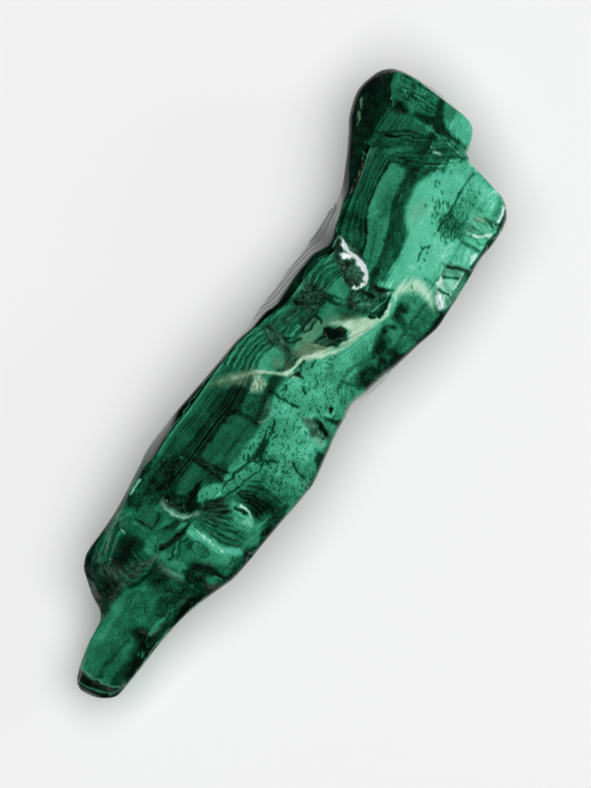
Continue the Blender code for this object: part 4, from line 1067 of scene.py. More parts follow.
def paint_streaked_rim(paint):
    """The streaked zone and the banded one on the +X side of the arcs."""
    streaked = (
        (10.9, 11), (13.2, 13.2), (15.4, 11.4), (14.2, 9.6), (14.2, 8.2), (12.9, 7.4), (12.6, 5.8),
        (10.8, 4.2), (9.6, 4.6), (10.2, 6.6), (10.9, 8.5),
    )
    paint.patch(0.32, 2, streaked, earth=0.25, grain=1.2)
    paint.strokes(streaked, 46, 62, 1.6, (0.06, 0.6), earth=0.25)
    paint.comb(0.5, streaked, straight(60))
    paint.strokes(
        ((12, 10), (15, 13), (19, 11), (17, 9)), 30, 40, 1.6, (0.1, 0.5), 0.15, cover=0.7, earth=0.2)
    banded = (
        (13.8, 8.6), (15.3, 11.2), (16.2, 13), (21.5, 10.5), (22, 8.6), (20.8, 6.8), (18, 6.8),
        (15.6, 7.8),
    )
    paint.patch(0.38, 0.9, banded)
    paint.fan(
        (0.2, 0.54), 0.2, ((14, 7.6), (17, 7.4), (21.6, 5.6)), ((15.6, 13), (18.6, 12.2), (22, 10.6)), 8,
        cover=0.7)
    paint.comb(0.5, banded, straight(-22))
    paint.strokes(
        ((15.2, 11.2), (19.4, 10.6), (20.6, 8.6), (17, 8.4)), 24, -20, 1.2, (0.08, 0.4), 0.16, earth=0.3)
    paint.line(0.6, 0.25, 0.6, ((15.4, 12.9), (17.5, 12.1), (19.5, 11), (21.8, 10.1)))
    paint.line(0.22, 0.2, 0.5, ((15.6, 13.5), (18, 12.6), (20, 11.6), (22, 10.9)))


def paint_dent(paint):
    """The beige rims and the dark lines of the dent between the arcs and the deep pit."""
    paint.patch(0.62, 1.2, (
        (12, 4.6), (14.4, 5.6), (18, 4.8), (20.6, 3.6), (21.6, 2), (20.6, 1), (18, 1.4), (15.8, 2.4),
        (12, 3.2),
    ), sand=0.4)
    paint.patch(0.34, 1, ((14, 7.6), (21, 7.2), (21.6, 4.8), (17, 4.8), (14.4, 5.6)))
    paint.patch(0.5, 0.9, ((13.8, 8.2), (15.6, 7.4), (17.8, 6.9), (17.6, 6), (14.8, 6.4)), grain=1.2)
    paint.line(
        0.86, 0.12, 0.4,
        ((14, 8.1), (14.6, 7.2), (15.2, 6.7), (16.2, 6.5), (16.9, 6.1), (17.5, 6.2), (17.4, 6.8)))
    paint.line(0.12, 0.25, 0.6, ((13, 7.9), (13.2, 6.5), (14.1, 5.4), (15.4, 4.6)))
    paint.patch(
        0.5, 0.5, ((17.2, 5), (18.5, 5.3), (21.8, 4.3), (22, 3.8), (20.7, 3.6), (18.5, 3.9)), earth=0.35)
    paint.line(0.06, 0.16, 0.4, ((17.2, 5.1), (19, 5.3), (20.5, 4.8), (21.8, 4.3)))
    paint.line(0.06, 0.16, 0.4, ((17, 4.6), (18.3, 3.8), (20.6, 3.5)))
    paint.line(0.1, 0.25, 0.5, ((21.5, 4.1), (21.5, 3), (21, 2.4)))
    paint.strokes(
        ((17.4, 7.2), (21, 7), (21.4, 5.2), (17.8, 5.4)), 16, -10, 1, (0.1, 0.4), 0.16, earth=0.3)


def paint_block(paint):
    """The banded block, the mottled zone above it and the fan beside the big hollow."""
    block = ((21.8, 4.1), (25.8, 3.9), (26.2, 1), (25.8, -1), (24.6, -2.4), (22.6, 0), (21.8, 1.5))
    paint.patch(0.54, 0.6, block)
    for y in (3.6, 2.9, 2.2, 1.5, 0.8, 0.1):
        paint.line(0.38, 0.1, 0.36, ((22, y), (24, y + 0.1), (25.8, y - 0.1)), cover=0.8)
    paint.patch(0.22, 0.9, ((23.4, -0.4), (25.8, 0), (26.2, -2.4), (25, -2.8)))
    mottled = (
        (21.6, 10.3), (24, 10.2), (27, 10.4), (28, 8), (27.4, 5.5), (26, 4.2), (24.5, 4.8), (22.4, 5),
        (21.4, 7),
    )
    paint.patch(0.24, 2.2, mottled, earth=0.3, grain=1.4, speckle=1)
    paint.strokes(mottled, 70, -50, 0.7, (0.02, 0.5), 0.22, earth=0.25)
    paint.comb(0.3, mottled, straight(-55))
    paint.line(0.12, 0.25, 0.8, ((21.6, 10), (23, 7.6), (24, 5.4), (26, 4)))
    paint.line(0.46, 0.15, 0.4, ((22.4, 10.2), (24.6, 10.1), (26.6, 10.5)))
    paint.patch(
        0.6, 0.7, ((27.4, 4.9), (31, 4.7), (32.4, 3.8), (31.6, 2), (30.6, 0.2), (28.4, 0.2), (27.6, 2)))
    paint.line(0.15, 0.4, 0.8, ((26.4, 4.6), (26.2, 2), (26.7, -0.4), (27.4, -2)))
    paint.line(0.12, 0.15, 0.5, ((27.6, 3.2), (27.7, 1.4)))
    paint.fan(
        (0.66, 0.26), 0.2, ((27.4, 11.2), (30, 11.2), (32, 10.8), (35, 9)),
        ((27.6, 5.2), (30, 5.2), (32, 4.8), (33.4, 4)), 9, cover=0.7)
    paint.comb(0.5, ((27.4, 11.4), (32, 10.8), (35, 9), (33.4, 4), (27.6, 5)), rings(27, -24))
    paint.patch(
        0.22, 1.8, ((26.6, 0), (31.4, 0.4), (32, -1.4), (31.2, -3), (27, -3.4)), earth=0.15, grain=1.2)
    paint.strokes(
        ((26.6, 0), (31.6, 0.2), (31.8, -2.6), (27, -3.2)), 24, 20, 1, (0.06, 0.44), cover=0.7, earth=0.3)


def paint_vein(paint):
    """The beige vein, from the ridge to the light edge."""
    paint.patch(0.6, 2.6, (
        (-4.8, 16.8), (-2.4, 16), (1.4, 12.4), (3.6, 10.6), (2.4, 9.6), (-0.6, 10.4), (-2.4, 13.2),
    ), sand=1, cover=0.7)
    paint.strokes(
        ((-4, 16), (0, 14), (3.4, 10.6), (0, 10.6)), 26, -48, 2, (0.36, 0.85), 0.14, cover=0.5, sand=0.9)
    paint.patch(
        0.9, 1.6, ((-0.8, 8.5), (2.7, 9.7), (3.2, 8), (2.2, 6.2), (0.5, 6.3), (-0.7, 7.2)), sand=0.9,
        cover=0.9)
    paint.strokes(((-1, 8.6), (3, 9.6), (3, 6.4), (0, 6.2)), 24, 50, 1, (0.3, 1), cover=0.7, sand=0.8)
    paint.line(0.74, 0.4, 1.2, ((-0.5, 13.2), (1.4, 11.6), (2.8, 10.1), (4, 8.6)), sand=1)
    paint.patch(0.24, 1.2, ((0.4, 5.8), (4.6, 5.8), (5.2, 4.4), (3, 4.3), (0.4, 4.7)), cover=0.9)
    paint.line(0.92, 0.34, 0.6, ((3.6, 9.4), (4.4, 7.6), (5, 5.8), (5.9, 4), (7, 3)), sand=0.9)
    paint.line(1, 0.4, 0.7, ((6.2, 3.3), (8, 2.8), (10, 2.5), (12, 1.7)), sand=0.9)
    paint.patch(0.9, 0.6, ((5.8, 2.4), (7.8, 2.6), (7.2, 0.4)), sand=1)
    paint.patch(0.5, 1.4, ((11, 4.4), (15.4, 2.8), (16.6, 0), (17, -2), (14.6, -1), (11.6, 1.8)), sand=1)
    paint.patch(0.97, 1.1, (
        (10.6, 2.7), (12.3, 2.4), (14.8, 0.2), (17, -2.2), (18.4, -3.6), (20.4, -4.9), (22.4, -3.9),
        (22.6, -1.4), (21.4, 0.6), (22.2, 1.4), (24, -1.6), (26.2, -4.6), (27, -6.4), (28, -8),
        (29.4, -9.1), (33, -8.9), (33, -9.6), (29, -9.9), (26, -8.4), (22.6, -6.6), (19.6, -5.4),
        (16.6, -3.8), (13.8, -1.4), (11.4, 1),
    ), sand=0.9, grain=0.5)
    paint.patch(
        0.56, 2.6, ((20.8, 1.4), (22.6, 2), (25, -1.2), (27.2, -4.8), (25.4, -4.4), (22.8, -0.8)),
        sand=0.7, cover=0.75)
    paint.patch(0.44, 1.6, ((24.6, 1), (26.6, 1), (27.4, -3.4), (26.8, -4.6)), cover=0.8)
    paint.patch(
        0.84, 1, ((15.4, -1.6), (18, -3.2), (20.4, -4.7), (21.4, -5.6), (18.6, -4.8), (16, -3)), sand=0.4,
        cover=0.8)
    paint.patch(0.54, 1.6, (
        (11.4, 3.2), (14.6, 3.2), (16.6, 1.2), (17.4, -1.2), (16.2, -1.6), (14.4, 0.4), (12.6, 2),
    ), sand=0.95, cover=0.9)
    paint.strokes(
        ((11, 4), (15.4, 2.4), (16.8, -1.4), (12, 1.6)), 20, -40, 1.8, (0.3, 0.8), cover=0.5, sand=0.9)
    paint.strokes(
        ((14, 0), (21, -4.6), (27, -7), (26, -8), (16, -3)), 30, -38, 2, (0.7, 1), cover=0.6, sand=0.9)
    paint.comb(0.3, ((11, 2.6), (15, 0), (21, -4.6), (29, -9), (26, -8.4), (16, -3.6)), straight(-36))
    paint.line(0.74, 0.7, 2, ((17, -5.4), (21, -7), (25, -9), (29, -11)), cover=0.7)


def paint_deep_pit(paint):
    """The deep pit beside the vein, and two small ones."""
    paint.patch(0.09, 0.6, DEEP_PIT, earth=0.15)
    paint.patch(
        0.38, 0.9, ((16.2, 1.4), (18, 0.6), (19.2, -1.4), (19, -3), (17.4, -1.8)), earth=0.2, cover=0.8)
    paint.strokes(DEEP_PIT, 34, -30, 1.2, (0.05, 0.7), earth=0.3)
    paint.spot(0.03, 0.9, (20.6, -1.6, 1, 1.8, 30))
    paint.spot(0.16, 0.9, (22.2, -2.4, 0.3, 0.6, 0), rust=0.35, cover=0.8)
    paint.strokes(((17.4, -2.4), (18.2, -3.8), (20.4, -4.6), (21.4, -3.8)), 8, -25, 0.8, (0.5, 0.95), 0.1)
    paint.spot(0.1, 0.6, (27.7, -6.9, 1, 0.5, -52))
    paint.patch(0.14, 0.5, ((6.7, 2.1), (8.6, 1.5), (7.6, -0.5)), earth=0.3)


def paint_facets(paint):
    """The hollow with flat facets under the vein, some of them painted light as highlights."""
    paint.patch(0.22, 0.8, FACETS)
    # Painted highlights: lighter facets, where they catch the light.
    paint.patch(
        0.42, 0.9, ((29.6, -3.6), (31.2, -3.2), (31.4, -6.6), (29.2, -7.4), (28.6, -5.6)), earth=0.15,
        cover=0.8)
    paint.patch(0.46, 0.8, ((32.6, -4.6), (33.8, -4.6), (34.4, -6.8), (32.6, -6.9)), earth=0.2, cover=0.8)
    paint.strokes(FACETS, 34, 20, 1.3, (0.04, 0.6), 0.22, cover=0.7, earth=0.1)
    paint.strokes(FACETS, 24, -40, 1.6, (0.3, 0.9), 0.18, earth=0.15)
    # Pale painted highlights along the facets' edges.
    paint.line(0.85, 0.12, 0.35, ((29, -6.2), (31, -7.1), (33, -7.5), (35.6, -7.9)))
    paint.line(0.55, 0.12, 0.35, ((30, -5), (31, -5.6), (32.2, -5.9)), earth=0.3)
    paint.patch(0.9, 0.5, ((34.1, -6.8), (35, -7), (35.4, -7.8), (34.3, -7.5)), earth=0.5)
    paint.line(0.04, 0.3, 0.5, ((28.6, -8.5), (30, -8.8), (32, -8.5), (34, -8.1)))
    paint.line(0.04, 0.4, 0.7, ((32, -1.2), (31.8, -3.2), (32.2, -4.8)))
    paint.line(0.04, 0.4, 0.7, ((34.2, -3.8), (34.6, -5.8)))


def paint_lower_edge(paint):
    """The light edge from the dip to the chips: blotches, dark rims and the vein's pale end."""
    paint.patch(0.68, 1.8, (
        (10, -6), (18, -6), (28, -10.4), (36, -10), (37, -14), (24, -12), (14, -9.4), (10, -9),
    ), grain=1.2, speckle=0.4)
    paint.patch(
        0.5, 1.8, ((13, -10.4), (17, -10.2), (20, -12), (36, -15), (37, -22), (12, -17)), grain=1.2)
    paint.line(0.36, 0.3, 1.4, ((10, -8.6), (13, -8.5), (16, -8.8), (18.4, -10.2), (21, -12.2)))
    paint.line(0.24, 0.2, 0.8, ((11.8, -8.5), (12, -10), (12.8, -12.6)))
    low = (
        (13, -11.6), (15.6, -10.8), (17.6, -11.6), (20.4, -14.4), (24, -16), (22, -18), (17, -16.8),
        (13.6, -15),
    )
    paint.patch(0.13, 1.8, low)
    paint.patch(0.6, 1.4, ((21, -10.6), (29, -11.2), (36, -10.6), (37.6, -15.4), (28, -15), (21, -13)))
    paint.patch(0.18, 1.4, (
        (20, -13.6), (21.4, -11), (25, -10), (28.2, -10), (28.8, -12), (26, -11.8), (24.4, -13.4),
        (22, -13.2),
    ), cover=0.85)
    paint.patch(0.22, 1.4, (
        (29.4, -14.4), (29.8, -11.2), (34.2, -10.8), (34.8, -12.6), (31.8, -13), (30.4, -14.6),
    ), cover=0.8)
    for x, y, half_length, half_width, turn, tone in (
        (23.0, -12.2, 2.6, 1.4, -15, 0.06), (26.6, -11.0, 2.2, 0.6, 10, 0.10),
        (28.4, -12.2, 0.5, 1.2, 0, 0.14), (31.8, -11.7, 2.2, 0.9, 5, 0.08),
        (33.4, -12.6, 1.0, 0.9, 0, 0.12), (29.8, -14.6, 1.0, 0.6, 0, 0.2),
        (20.6, -14.0, 0.9, 1.2, 0, 0.14), (23.6, -15.0, 1.8, 0.8, -30, 0.14),
    ):
        paint.spot(tone, 1.2, (x, y, half_length, half_width, turn), cover=0.9)
    for x, tone in ((24.6, 0.5), (26.6, 0.6), (28.8, 0.5), (33.6, 0.55), (35.6, 0.55)):
        paint.line(tone, 0.3, 1.2, ((x + 0.9, -11.6), (x, -14), (x + 0.2, -17)), cover=0.7)
    paint.strokes(
        ((13, -10), (22, -10.6), (36, -10.6), (36, -20), (20, -17.6), (13, -14.6)), 110, 65, 0.9,
        (0.16, 0.8), cover=0.4)
    paint.line(
        0.24, 0.25, 1.3, ((23.4, -14.4), (26, -15.2), (30, -15.4), (34, -15.8), (37, -16.4)), cover=0.8)
    paint.patch(0.42, 1, ((25, -16.2), (37, -17), (37, -18.8), (28, -18.2)), cover=0.8)
    for x in (28.6, 30.3, 33.2):
        paint.line(0.24, 0.2, 0.9, ((x, -15.8), (x + 0.3, -17.4), (x + 0.2, -19)), cover=0.8)
    paint.patch(
        0.09, 1.1, ((20, -17), (23.6, -15.8), (25, -18), (30, -19.4), (37, -20.4), (37, -23), (18, -19)))
    paint.patch(1, 2.4, (
        (34.6, -8.6), (37.4, -8.6), (39.2, -9.6), (40.7, -11.6), (40.8, -14), (39.8, -16.2), (38, -17.8),
        (36.6, -18.6), (37.2, -16.6), (38, -14.8), (37.8, -12), (36.6, -10.4), (34.6, -9.6),
    ), sand=0.65, grain=0.4)


def paint_chips(paint):
    """The chipped hollow at the light edge, its broken faces painted white as reflections."""
    paint.patch(0.62, 0.8, (
        (37, -20.8), (38, -18.6), (41.4, -16.6), (44, -16), (46.8, -13.6), (47.6, -16.4), (48.6, -21),
        (44, -22),
    ), earth=0.1)
    chips = (
        (36.8, -20.4), (37.8, -18.4), (41.2, -16.6), (44, -15.6), (46.6, -14), (46, -16.6), (44, -17.6),
        (43.6, -20.6),
    )
    paint.strokes(chips, 70, 40, 1.2, (0.5, 1.1), 0.24, earth=0.3)
    # Painted reflections: the broken faces are white where they mirror the light.
    paint.patch(1, 0.8, (
        (37, -20), (37.8, -18.6), (39.4, -17.2), (41.2, -17), (40.6, -18.2), (39.2, -19.4), (38.4, -20.6),
    ), earth=0.85)
    paint.patch(1, 0.7, ((41.4, -16.7), (43.8, -15.7), (43.6, -16.8), (42, -17.3)), earth=0.8)
    paint.patch(1, 0.7, ((43.8, -15.8), (45, -14.6), (46.4, -13.9), (46.2, -15.2)), earth=0.6)
    paint.patch(
        1, 0.8, ((42.4, -19.6), (44.8, -19.4), (47, -20), (46.6, -20.8), (43, -20.6)), earth=0.7,
        cover=0.8)
    paint.strokes(
        ((37, -19.6), (40, -17), (43, -16.4), (40, -19.8)), 22, 48, 0.9, (0.5, 1), 0.12, earth=0.5)
    paint.patch(
        0.92, 0.9, ((41.4, -17.6), (44.6, -16.6), (46.4, -16.8), (47, -20), (41.6, -20)), earth=0.1)
    paint.strokes(
        ((41.4, -17.4), (46, -16.6), (47, -20), (41.6, -20.4)), 30, 75, 1.2, (0.5, 1.1), earth=0.2)
    paint.line(0.14, 0.16, 0.5, ((41, -17.2), (41.2, -19.8)))
    paint.line(0.14, 0.16, 0.5, ((44.1, -16.2), (44.7, -18), (45.4, -19.8)))
    paint.patch(0.52, 1.2, ((44.8, -16.2), (46, -16), (47, -19.6), (45.6, -19.4)), earth=0.1, cover=0.6)
    paint.line(0.07, 0.3, 0.6, ((46.2, -15.8), (47.2, -18), (48, -20.8)))
    paint.line(0.16, 0.15, 0.4, ((46.8, -13.8), (46.6, -15.4), (44.8, -15.8)))
    # A painted glint at the foot of the chips.
    paint.line(1, 0.14, 0.4, ((43, -20.2), (44.6, -20.4), (47, -20.8)), earth=0.5)
    paint.patch(0.84, 1.2, ((48, -16.8), (49.6, -16.6), (50.4, -19.8), (48.6, -20.2)), sand=0.5)


def paint_dark_bands(paint):
    """The two dark bands of the +X third, and the rough patch where they start."""
    rough = ((40.4, 9), (46, 10), (47.4, 6), (44, 3.6), (39.4, 2.2), (38.6, 4))
    paint.patch(0.22, 1.4, rough, grain=1.2, cover=0.8)
    paint.strokes(rough, 50, 25, 1, (0.06, 0.46), 0.16, cover=0.75)
    paint.fan(
        (0.46, 0.16, 0.38, 0.22), 0.15, ((40, 3), (43, 4), (46, 5.6), (50, 7.6), (56, 8.8), (60.6, 8.8)),
        ((40.4, 9.4), (43.4, 10.2), (46.4, 10.8), (50, 11.4), (56, 12.6), (60.8, 13.6)), 9, cover=0.7)
    # A painted highlight along the ridge's crisp bevel.
    paint.line(0.62, 0.12, 0.4, ((40.5, 9.8), (44, 10.9), (48.6, 11.5)))
    paint.patch(0.58, 0.6, (
        (38.6, 1.8), (42, 2.7), (44, 3.5), (46, 4.9), (50, 6.8), (54, 7.8), (62.2, 8), (62.6, 3.8),
        (54, 3), (48, 0.6), (38, -1.6),
    ))
    paint.line(0.1, 0.22, 0.6, (
        (39, 2.4), (42, 3.1), (44, 3.9), (46, 5.3), (48, 6.3), (50, 7.1), (52, 7.7), (56, 8.3),
        (60.5, 8.3),
    ), cover=0.9)
    for drop in (0.7, 1.2, 1.7, 2.3, 2.9):
        paint.line(0.4, 0.1, 0.4, ((38.4, 1.6 - drop), (43, 2.8 - drop), (47, 4.4 - drop)), cover=0.75)
    paint.line(0.26, 0.2, 0.7, ((38.4, 0.2), (42, 1), (44.6, 1.6)), cover=0.8)
    paint.patch(0.44, 1.8, ((47, 3.2), (50, 5), (53.4, 4.6), (54, 3.4), (50, 2)), grain=1.4, cover=0.5)
    dark_band = (
        (35, -2.2), (40, -1.8), (44, -1.2), (47, -0.2), (49, 0.8), (50.5, 1.6), (53, 2.6), (56, 3.3),
        (61, 3.8), (61, 1.4), (56, 1.4), (53, 0.6), (50.5, -0.6), (49, -2), (47, -3), (40, -3.3),
        (35.6, -3.4),
    )
    paint.patch(0.23, 1.4, dark_band)
    paint.strokes(dark_band, 70, 15, 2.2, (0.08, 0.42), 0.18, cover=0.7)
    paint.patch(
        0.36, 1.8, ((36, -3.4), (45, -3.4), (50, -1.6), (49.4, -4), (44, -5.4), (36.4, -5)), grain=1)
    paint.strokes(((37, -3), (50, -1.6), (49, -4), (37, -4.8)), 40, 8, 1, (0.26, 0.62), 0.16, cover=0.7)


def paint_light_zone(paint):
    """The light zone of the +X third, with its speckled patches."""
    paint.patch(0.86, 1.8, (
        (36.6, -6), (44, -5.8), (48.6, -5), (51, -2.6), (54, -0.6), (60, 0), (64, -2.4), (67, -4.6),
        (69.6, -6), (68.4, -9), (68, -13), (67, -15.6), (60, -15), (48, -16), (42, -15), (41.2, -12),
        (39.6, -9),
    ), speckle=0.2, grain=0.4, lines=0.05)
    paint.patch(
        0.92, 2.4, ((42, -9), (67, -11), (67, -15), (58, -14.6), (44, -15)), speckle=0.2, grain=0.4,
        lines=0.05)
    paint.patch(0.89, 3.4, ((47, -6), (52, -2.6), (56, -2), (58, -6), (50, -8.6)), grain=0.4, lines=0.05)
    paint.spot(0.84, 1.2, (54.2, -3.4, 2.6, 1.6, 0), sand=0.3, cover=0.6)
    paint.patch(0.78, 1.8, ((64, -2.6), (69.4, -6), (68.4, -10), (66, -10), (66, -6)))
    paint.spot(0.46, 1.2, (55.8, -11.4, 2.6, 3, 10), speckle=1, grain=1.4, cover=0.75)
    paint.spot(0.6, 1.1, (60.6, -11.8, 4.6, 2.4, -8), speckle=1, grain=1.2, cover=0.6)
    paint.spot(0.42, 1.2, (56.6, -14.4, 2, 1.8, 0), speckle=0.8, cover=0.7)
    paint.strokes(
        ((51.4, -11), (55, -8.4), (60, -9), (60, -14), (54, -15)), 110, 30, 0.4, (0.1, 0.5), 0.15)
    paint.strokes(((52, -8.4), (55.6, -5.6), (58, -4.6), (60, -8.6)), 26, 30, 0.5, (0.1, 0.4), 0.14)


def paint_notched_edge(paint):
    """The banded light edge up to the notch, with painted glints."""
    paint.patch(
        0.92, 0.9, ((48, -16.2), (55, -15.6), (62, -15), (68, -15.6), (66, -20), (60, -22), (48.6, -21)))
    for drop, tone in ((0, 0.56), (0.7, 0.78), (1.5, 0.66), (2.3, 0.92), (3.2, 0.78)):
        paint.line(
            tone, 0.16, 0.7,
            ((48.6, -17 - drop), (50, -16.3 - drop), (52, -16 - drop), (54, -16.2 - drop)), cover=0.8)
        paint.line(
            tone, 0.16, 0.7,
            ((59.6, -15.7 - drop), (62, -15.3 - drop), (64, -15.3 - drop), (66.6, -16.4 - drop)),
            cover=0.8)
    paint.line(0.4, 0.4, 1.2, ((53.4, -16), (53.5, -20.4)))
    paint.patch(0.6, 2.2, ((55, -15.4), (58.6, -15), (59, -20), (55.6, -19)), earth=0.1, grain=1.2)
    paint.patch(0.36, 1.2, ((60, -18), (61.2, -17.8), (61.6, -21.4), (60, -21.4)), earth=0.15)
    paint.patch(0.74, 1, ((58.8, -15.4), (60.6, -15.4), (60.6, -18.2), (59.2, -17.8)), sand=0.6)
    paint.strokes(((54, -15.6), (62, -15.4), (62, -21), (54, -20)), 40, 84, 1.4, (0.3, 1.05), cover=0.7)
    paint.comb(0.25, ((54, -15.6), (62, -15.4), (62, -21), (54, -20)), straight(84))
    paint.patch(0.6, 1.6, ((62, -18.4), (66.4, -18), (65.6, -20.4), (62, -20.4)))
    paint.line(0.06, 0.22, 0.6, ((49, -20.9), (54, -21.2), (57, -21.6), (62, -21.2), (65.6, -19.8)))
    # Painted glints, white where the edge catches the light.
    paint.line(1.1, 0.26, 0.7, ((56, -17.6), (56.8, -19.2), (58.3, -20.6)), earth=0.6)
    paint.line(1, 0.2, 0.5, ((50.2, -20.3), (52.9, -20.1)), earth=0.5)
    paint.line(1.1, 0.28, 0.8, ((61.9, -20.5), (64, -20.1), (65, -19.7)), earth=0.8)


def paint_streaks(paint):
    """The streaked zone before the cut end."""
    paint.patch(
        0.4, 2.2, ((66.4, 14.4), (72, 14.2), (72.4, 9), (72, 4.4), (66, 5), (61.6, 4), (61, 8), (62, 14)))
    paint.fan(
        (0.56, 0.18, 0.44, 0.22), 0.15, ((62, 14.2), (66, 14.5), (69, 14.4), (72, 14.1)),
        ((62, 8.4), (66, 8.8), (69, 8.8), (72, 8.4)), 12, cover=0.75)
    streaked = (
        (61.8, 14), (64, 13.8), (67, 10.5), (69, 6), (69.6, 2.6), (68.6, -0.6), (66, -1.6), (62.5, -1),
        (60.8, 0.5), (61.6, 4), (60.9, 7.5), (61, 10),
    )
    paint.patch(0.36, 1.8, streaked, grain=1.2, cover=0.75)
    paint.patch(0.46, 1.4, ((61.4, 8.2), (65.4, 7.8), (66.8, 5.2), (62, 5)), cover=0.8)
    paint.patch(
        0.14, 1.4, ((60.4, 3.8), (70, 3.8), (74, 3.4), (74, 1.8), (69, 1.4), (60.4, 1.6)), cover=0.85)
    paint.fan(
        (0.12, 0.42), 0.3, ((61.2, 14), (63.2, 10.6), (65.8, 6.6), (68.6, 2.6)),
        ((64.8, 13.8), (67, 10.8), (69, 7), (69.8, 3.4)), 7, cover=0.75, soft=0.5)
    paint.fan(
        (0.14, 0.46), 0.3, ((61, 8), (61.9, 4.6), (63.2, 1.2), (65.4, -3.4)),
        ((63.4, 7.6), (65, 4.4), (66.8, 1.6), (69.6, -3)), 7, cover=0.55, soft=0.5)
    paint.strokes(
        ((61.4, 13.6), (64.6, 13.2), (67.4, 8.4), (65.2, 7.6), (62.4, 10.4)), 44, -62, 1.8, (0.04, 0.38),
        0.22, cover=0.75)
    paint.strokes(
        ((61, 6.8), (62.8, 6.6), (66, 1), (65, -2.6), (62.4, -0.4), (60.8, 2.6)), 44, -60, 1.8,
        (0.04, 0.4), 0.22, cover=0.75)
    paint.comb(0.45, streaked, straight(-64))
    paint.patch(0.34, 1, ((66.4, 0.6), (69, 1.8), (71.6, 1.6), (71.8, -5.4), (70, -5.4), (67, -2)))
    paint.strokes(((65, 0), (71.6, 1.6), (71.6, -5.6), (69, -5)), 30, -58, 1.8, (0.12, 0.66), cover=0.75)
    paint.strokes(((62, -0.4), (66, 0.4), (70.4, -5.4), (69, -6)), 20, -50, 1.6, (0.12, 0.7))
    paint.comb(0.5, ((62, -0.4), (65, 0.6), (71.6, 1.6), (71.6, -5.6), (69, -6)), straight(-54), soft=1.8)
    # Two painted glints.
    paint.line(1, 0.2, 0.5, ((67.8, 0.5), (68, -0.9)), earth=0.5)
    paint.line(0.9, 0.12, 0.4, ((68.4, 1.6), (68.7, 0.8)), earth=0.5)
    paint.line(0.5, 0.3, 0.8, ((71.6, 8), (71.7, 3), (71.6, -1), (71, -5.4)), grain=2.5)
    paint.line(0.12, 0.25, 0.6, ((69, -5.6), (70.4, -6.2), (70.9, -7.2)))


def paint_cut_end(paint):
    """The cut end: its banded top, its light lobe and the dark groove before them."""
    paint.patch(0.44, 0.8, ((73, 15), (80.4, 17), (80.4, 4), (77, 3.6), (73.4, 2.4), (72.6, 8)), grain=1)
    paint.fan(
        (0.64, 0.28), 0.22, ((74, 14.6), (74.2, 10), (74.6, 5)), ((79.9, 16), (79.7, 11), (79.4, 5.6)),
        11, cover=0.4)
    paint.comb(0.35, ((73.4, 15), (80, 16), (79.6, 5), (74, 5)), straight(88))
    paint.strokes(
        ((74.4, 13.6), (79.4, 12.8), (79.4, 10), (75, 10)), 30, 30, 0.7, (0.06, 0.3), 0.18, earth=0.1)
    paint.patch(0.46, 1, ((73.4, 15), (76, 16.8), (79, 17.6), (79.8, 15.4), (75, 14.2)))
    paint.strokes(
        ((73.6, 15), (79.4, 17.4), (79.6, 15.6), (75, 14)), 20, 20, 1.4, (0.24, 0.66), 0.14, cover=0.7)
    paint.patch(0.17, 1.2, ((73.4, 4.2), (76, 5), (80.4, 6.2), (80.4, 4.4), (77, 3.6), (73.4, 1.6)))
    paint.patch(0.54, 1.2, ((74.6, 2.4), (79.6, 4.4), (79.4, 0.6), (76, 0.4)))
    paint.patch(0.8, 1.2, (
        (74, -0.6), (75.8, 0.8), (78.6, 0), (78.4, -1.9), (76.6, -4.8), (73.4, -5.8), (73.2, -4.6),
    ), grain=0.4)
    paint.strokes(((74, 3), (79, 3.6), (78, -3), (74, -5)), 26, 75, 1.6, (0.5, 0.9), 0.13, cover=0.5)
    paint.patch(
        0.17, 1, ((72.2, 9), (73.4, 9), (74.4, 3), (73.2, -1), (72.6, -5.6), (72, -5.6), (72.2, 0)))
    paint.patch(0.12, 1.5, ((70.8, 13.9), (73.4, 14), (73.4, 12), (72.3, 9.3), (71.4, 11)))
    # Small painted glints.
    for x, y in ((76.3, 13.3), (78.0, 9.3), (72.5, 4.1), (73.4, 15.1), (61.8, 15.1)):
        paint.spot(0.74, 0.9, (x, y, 0.25, 0.2, 0), earth=0.3)


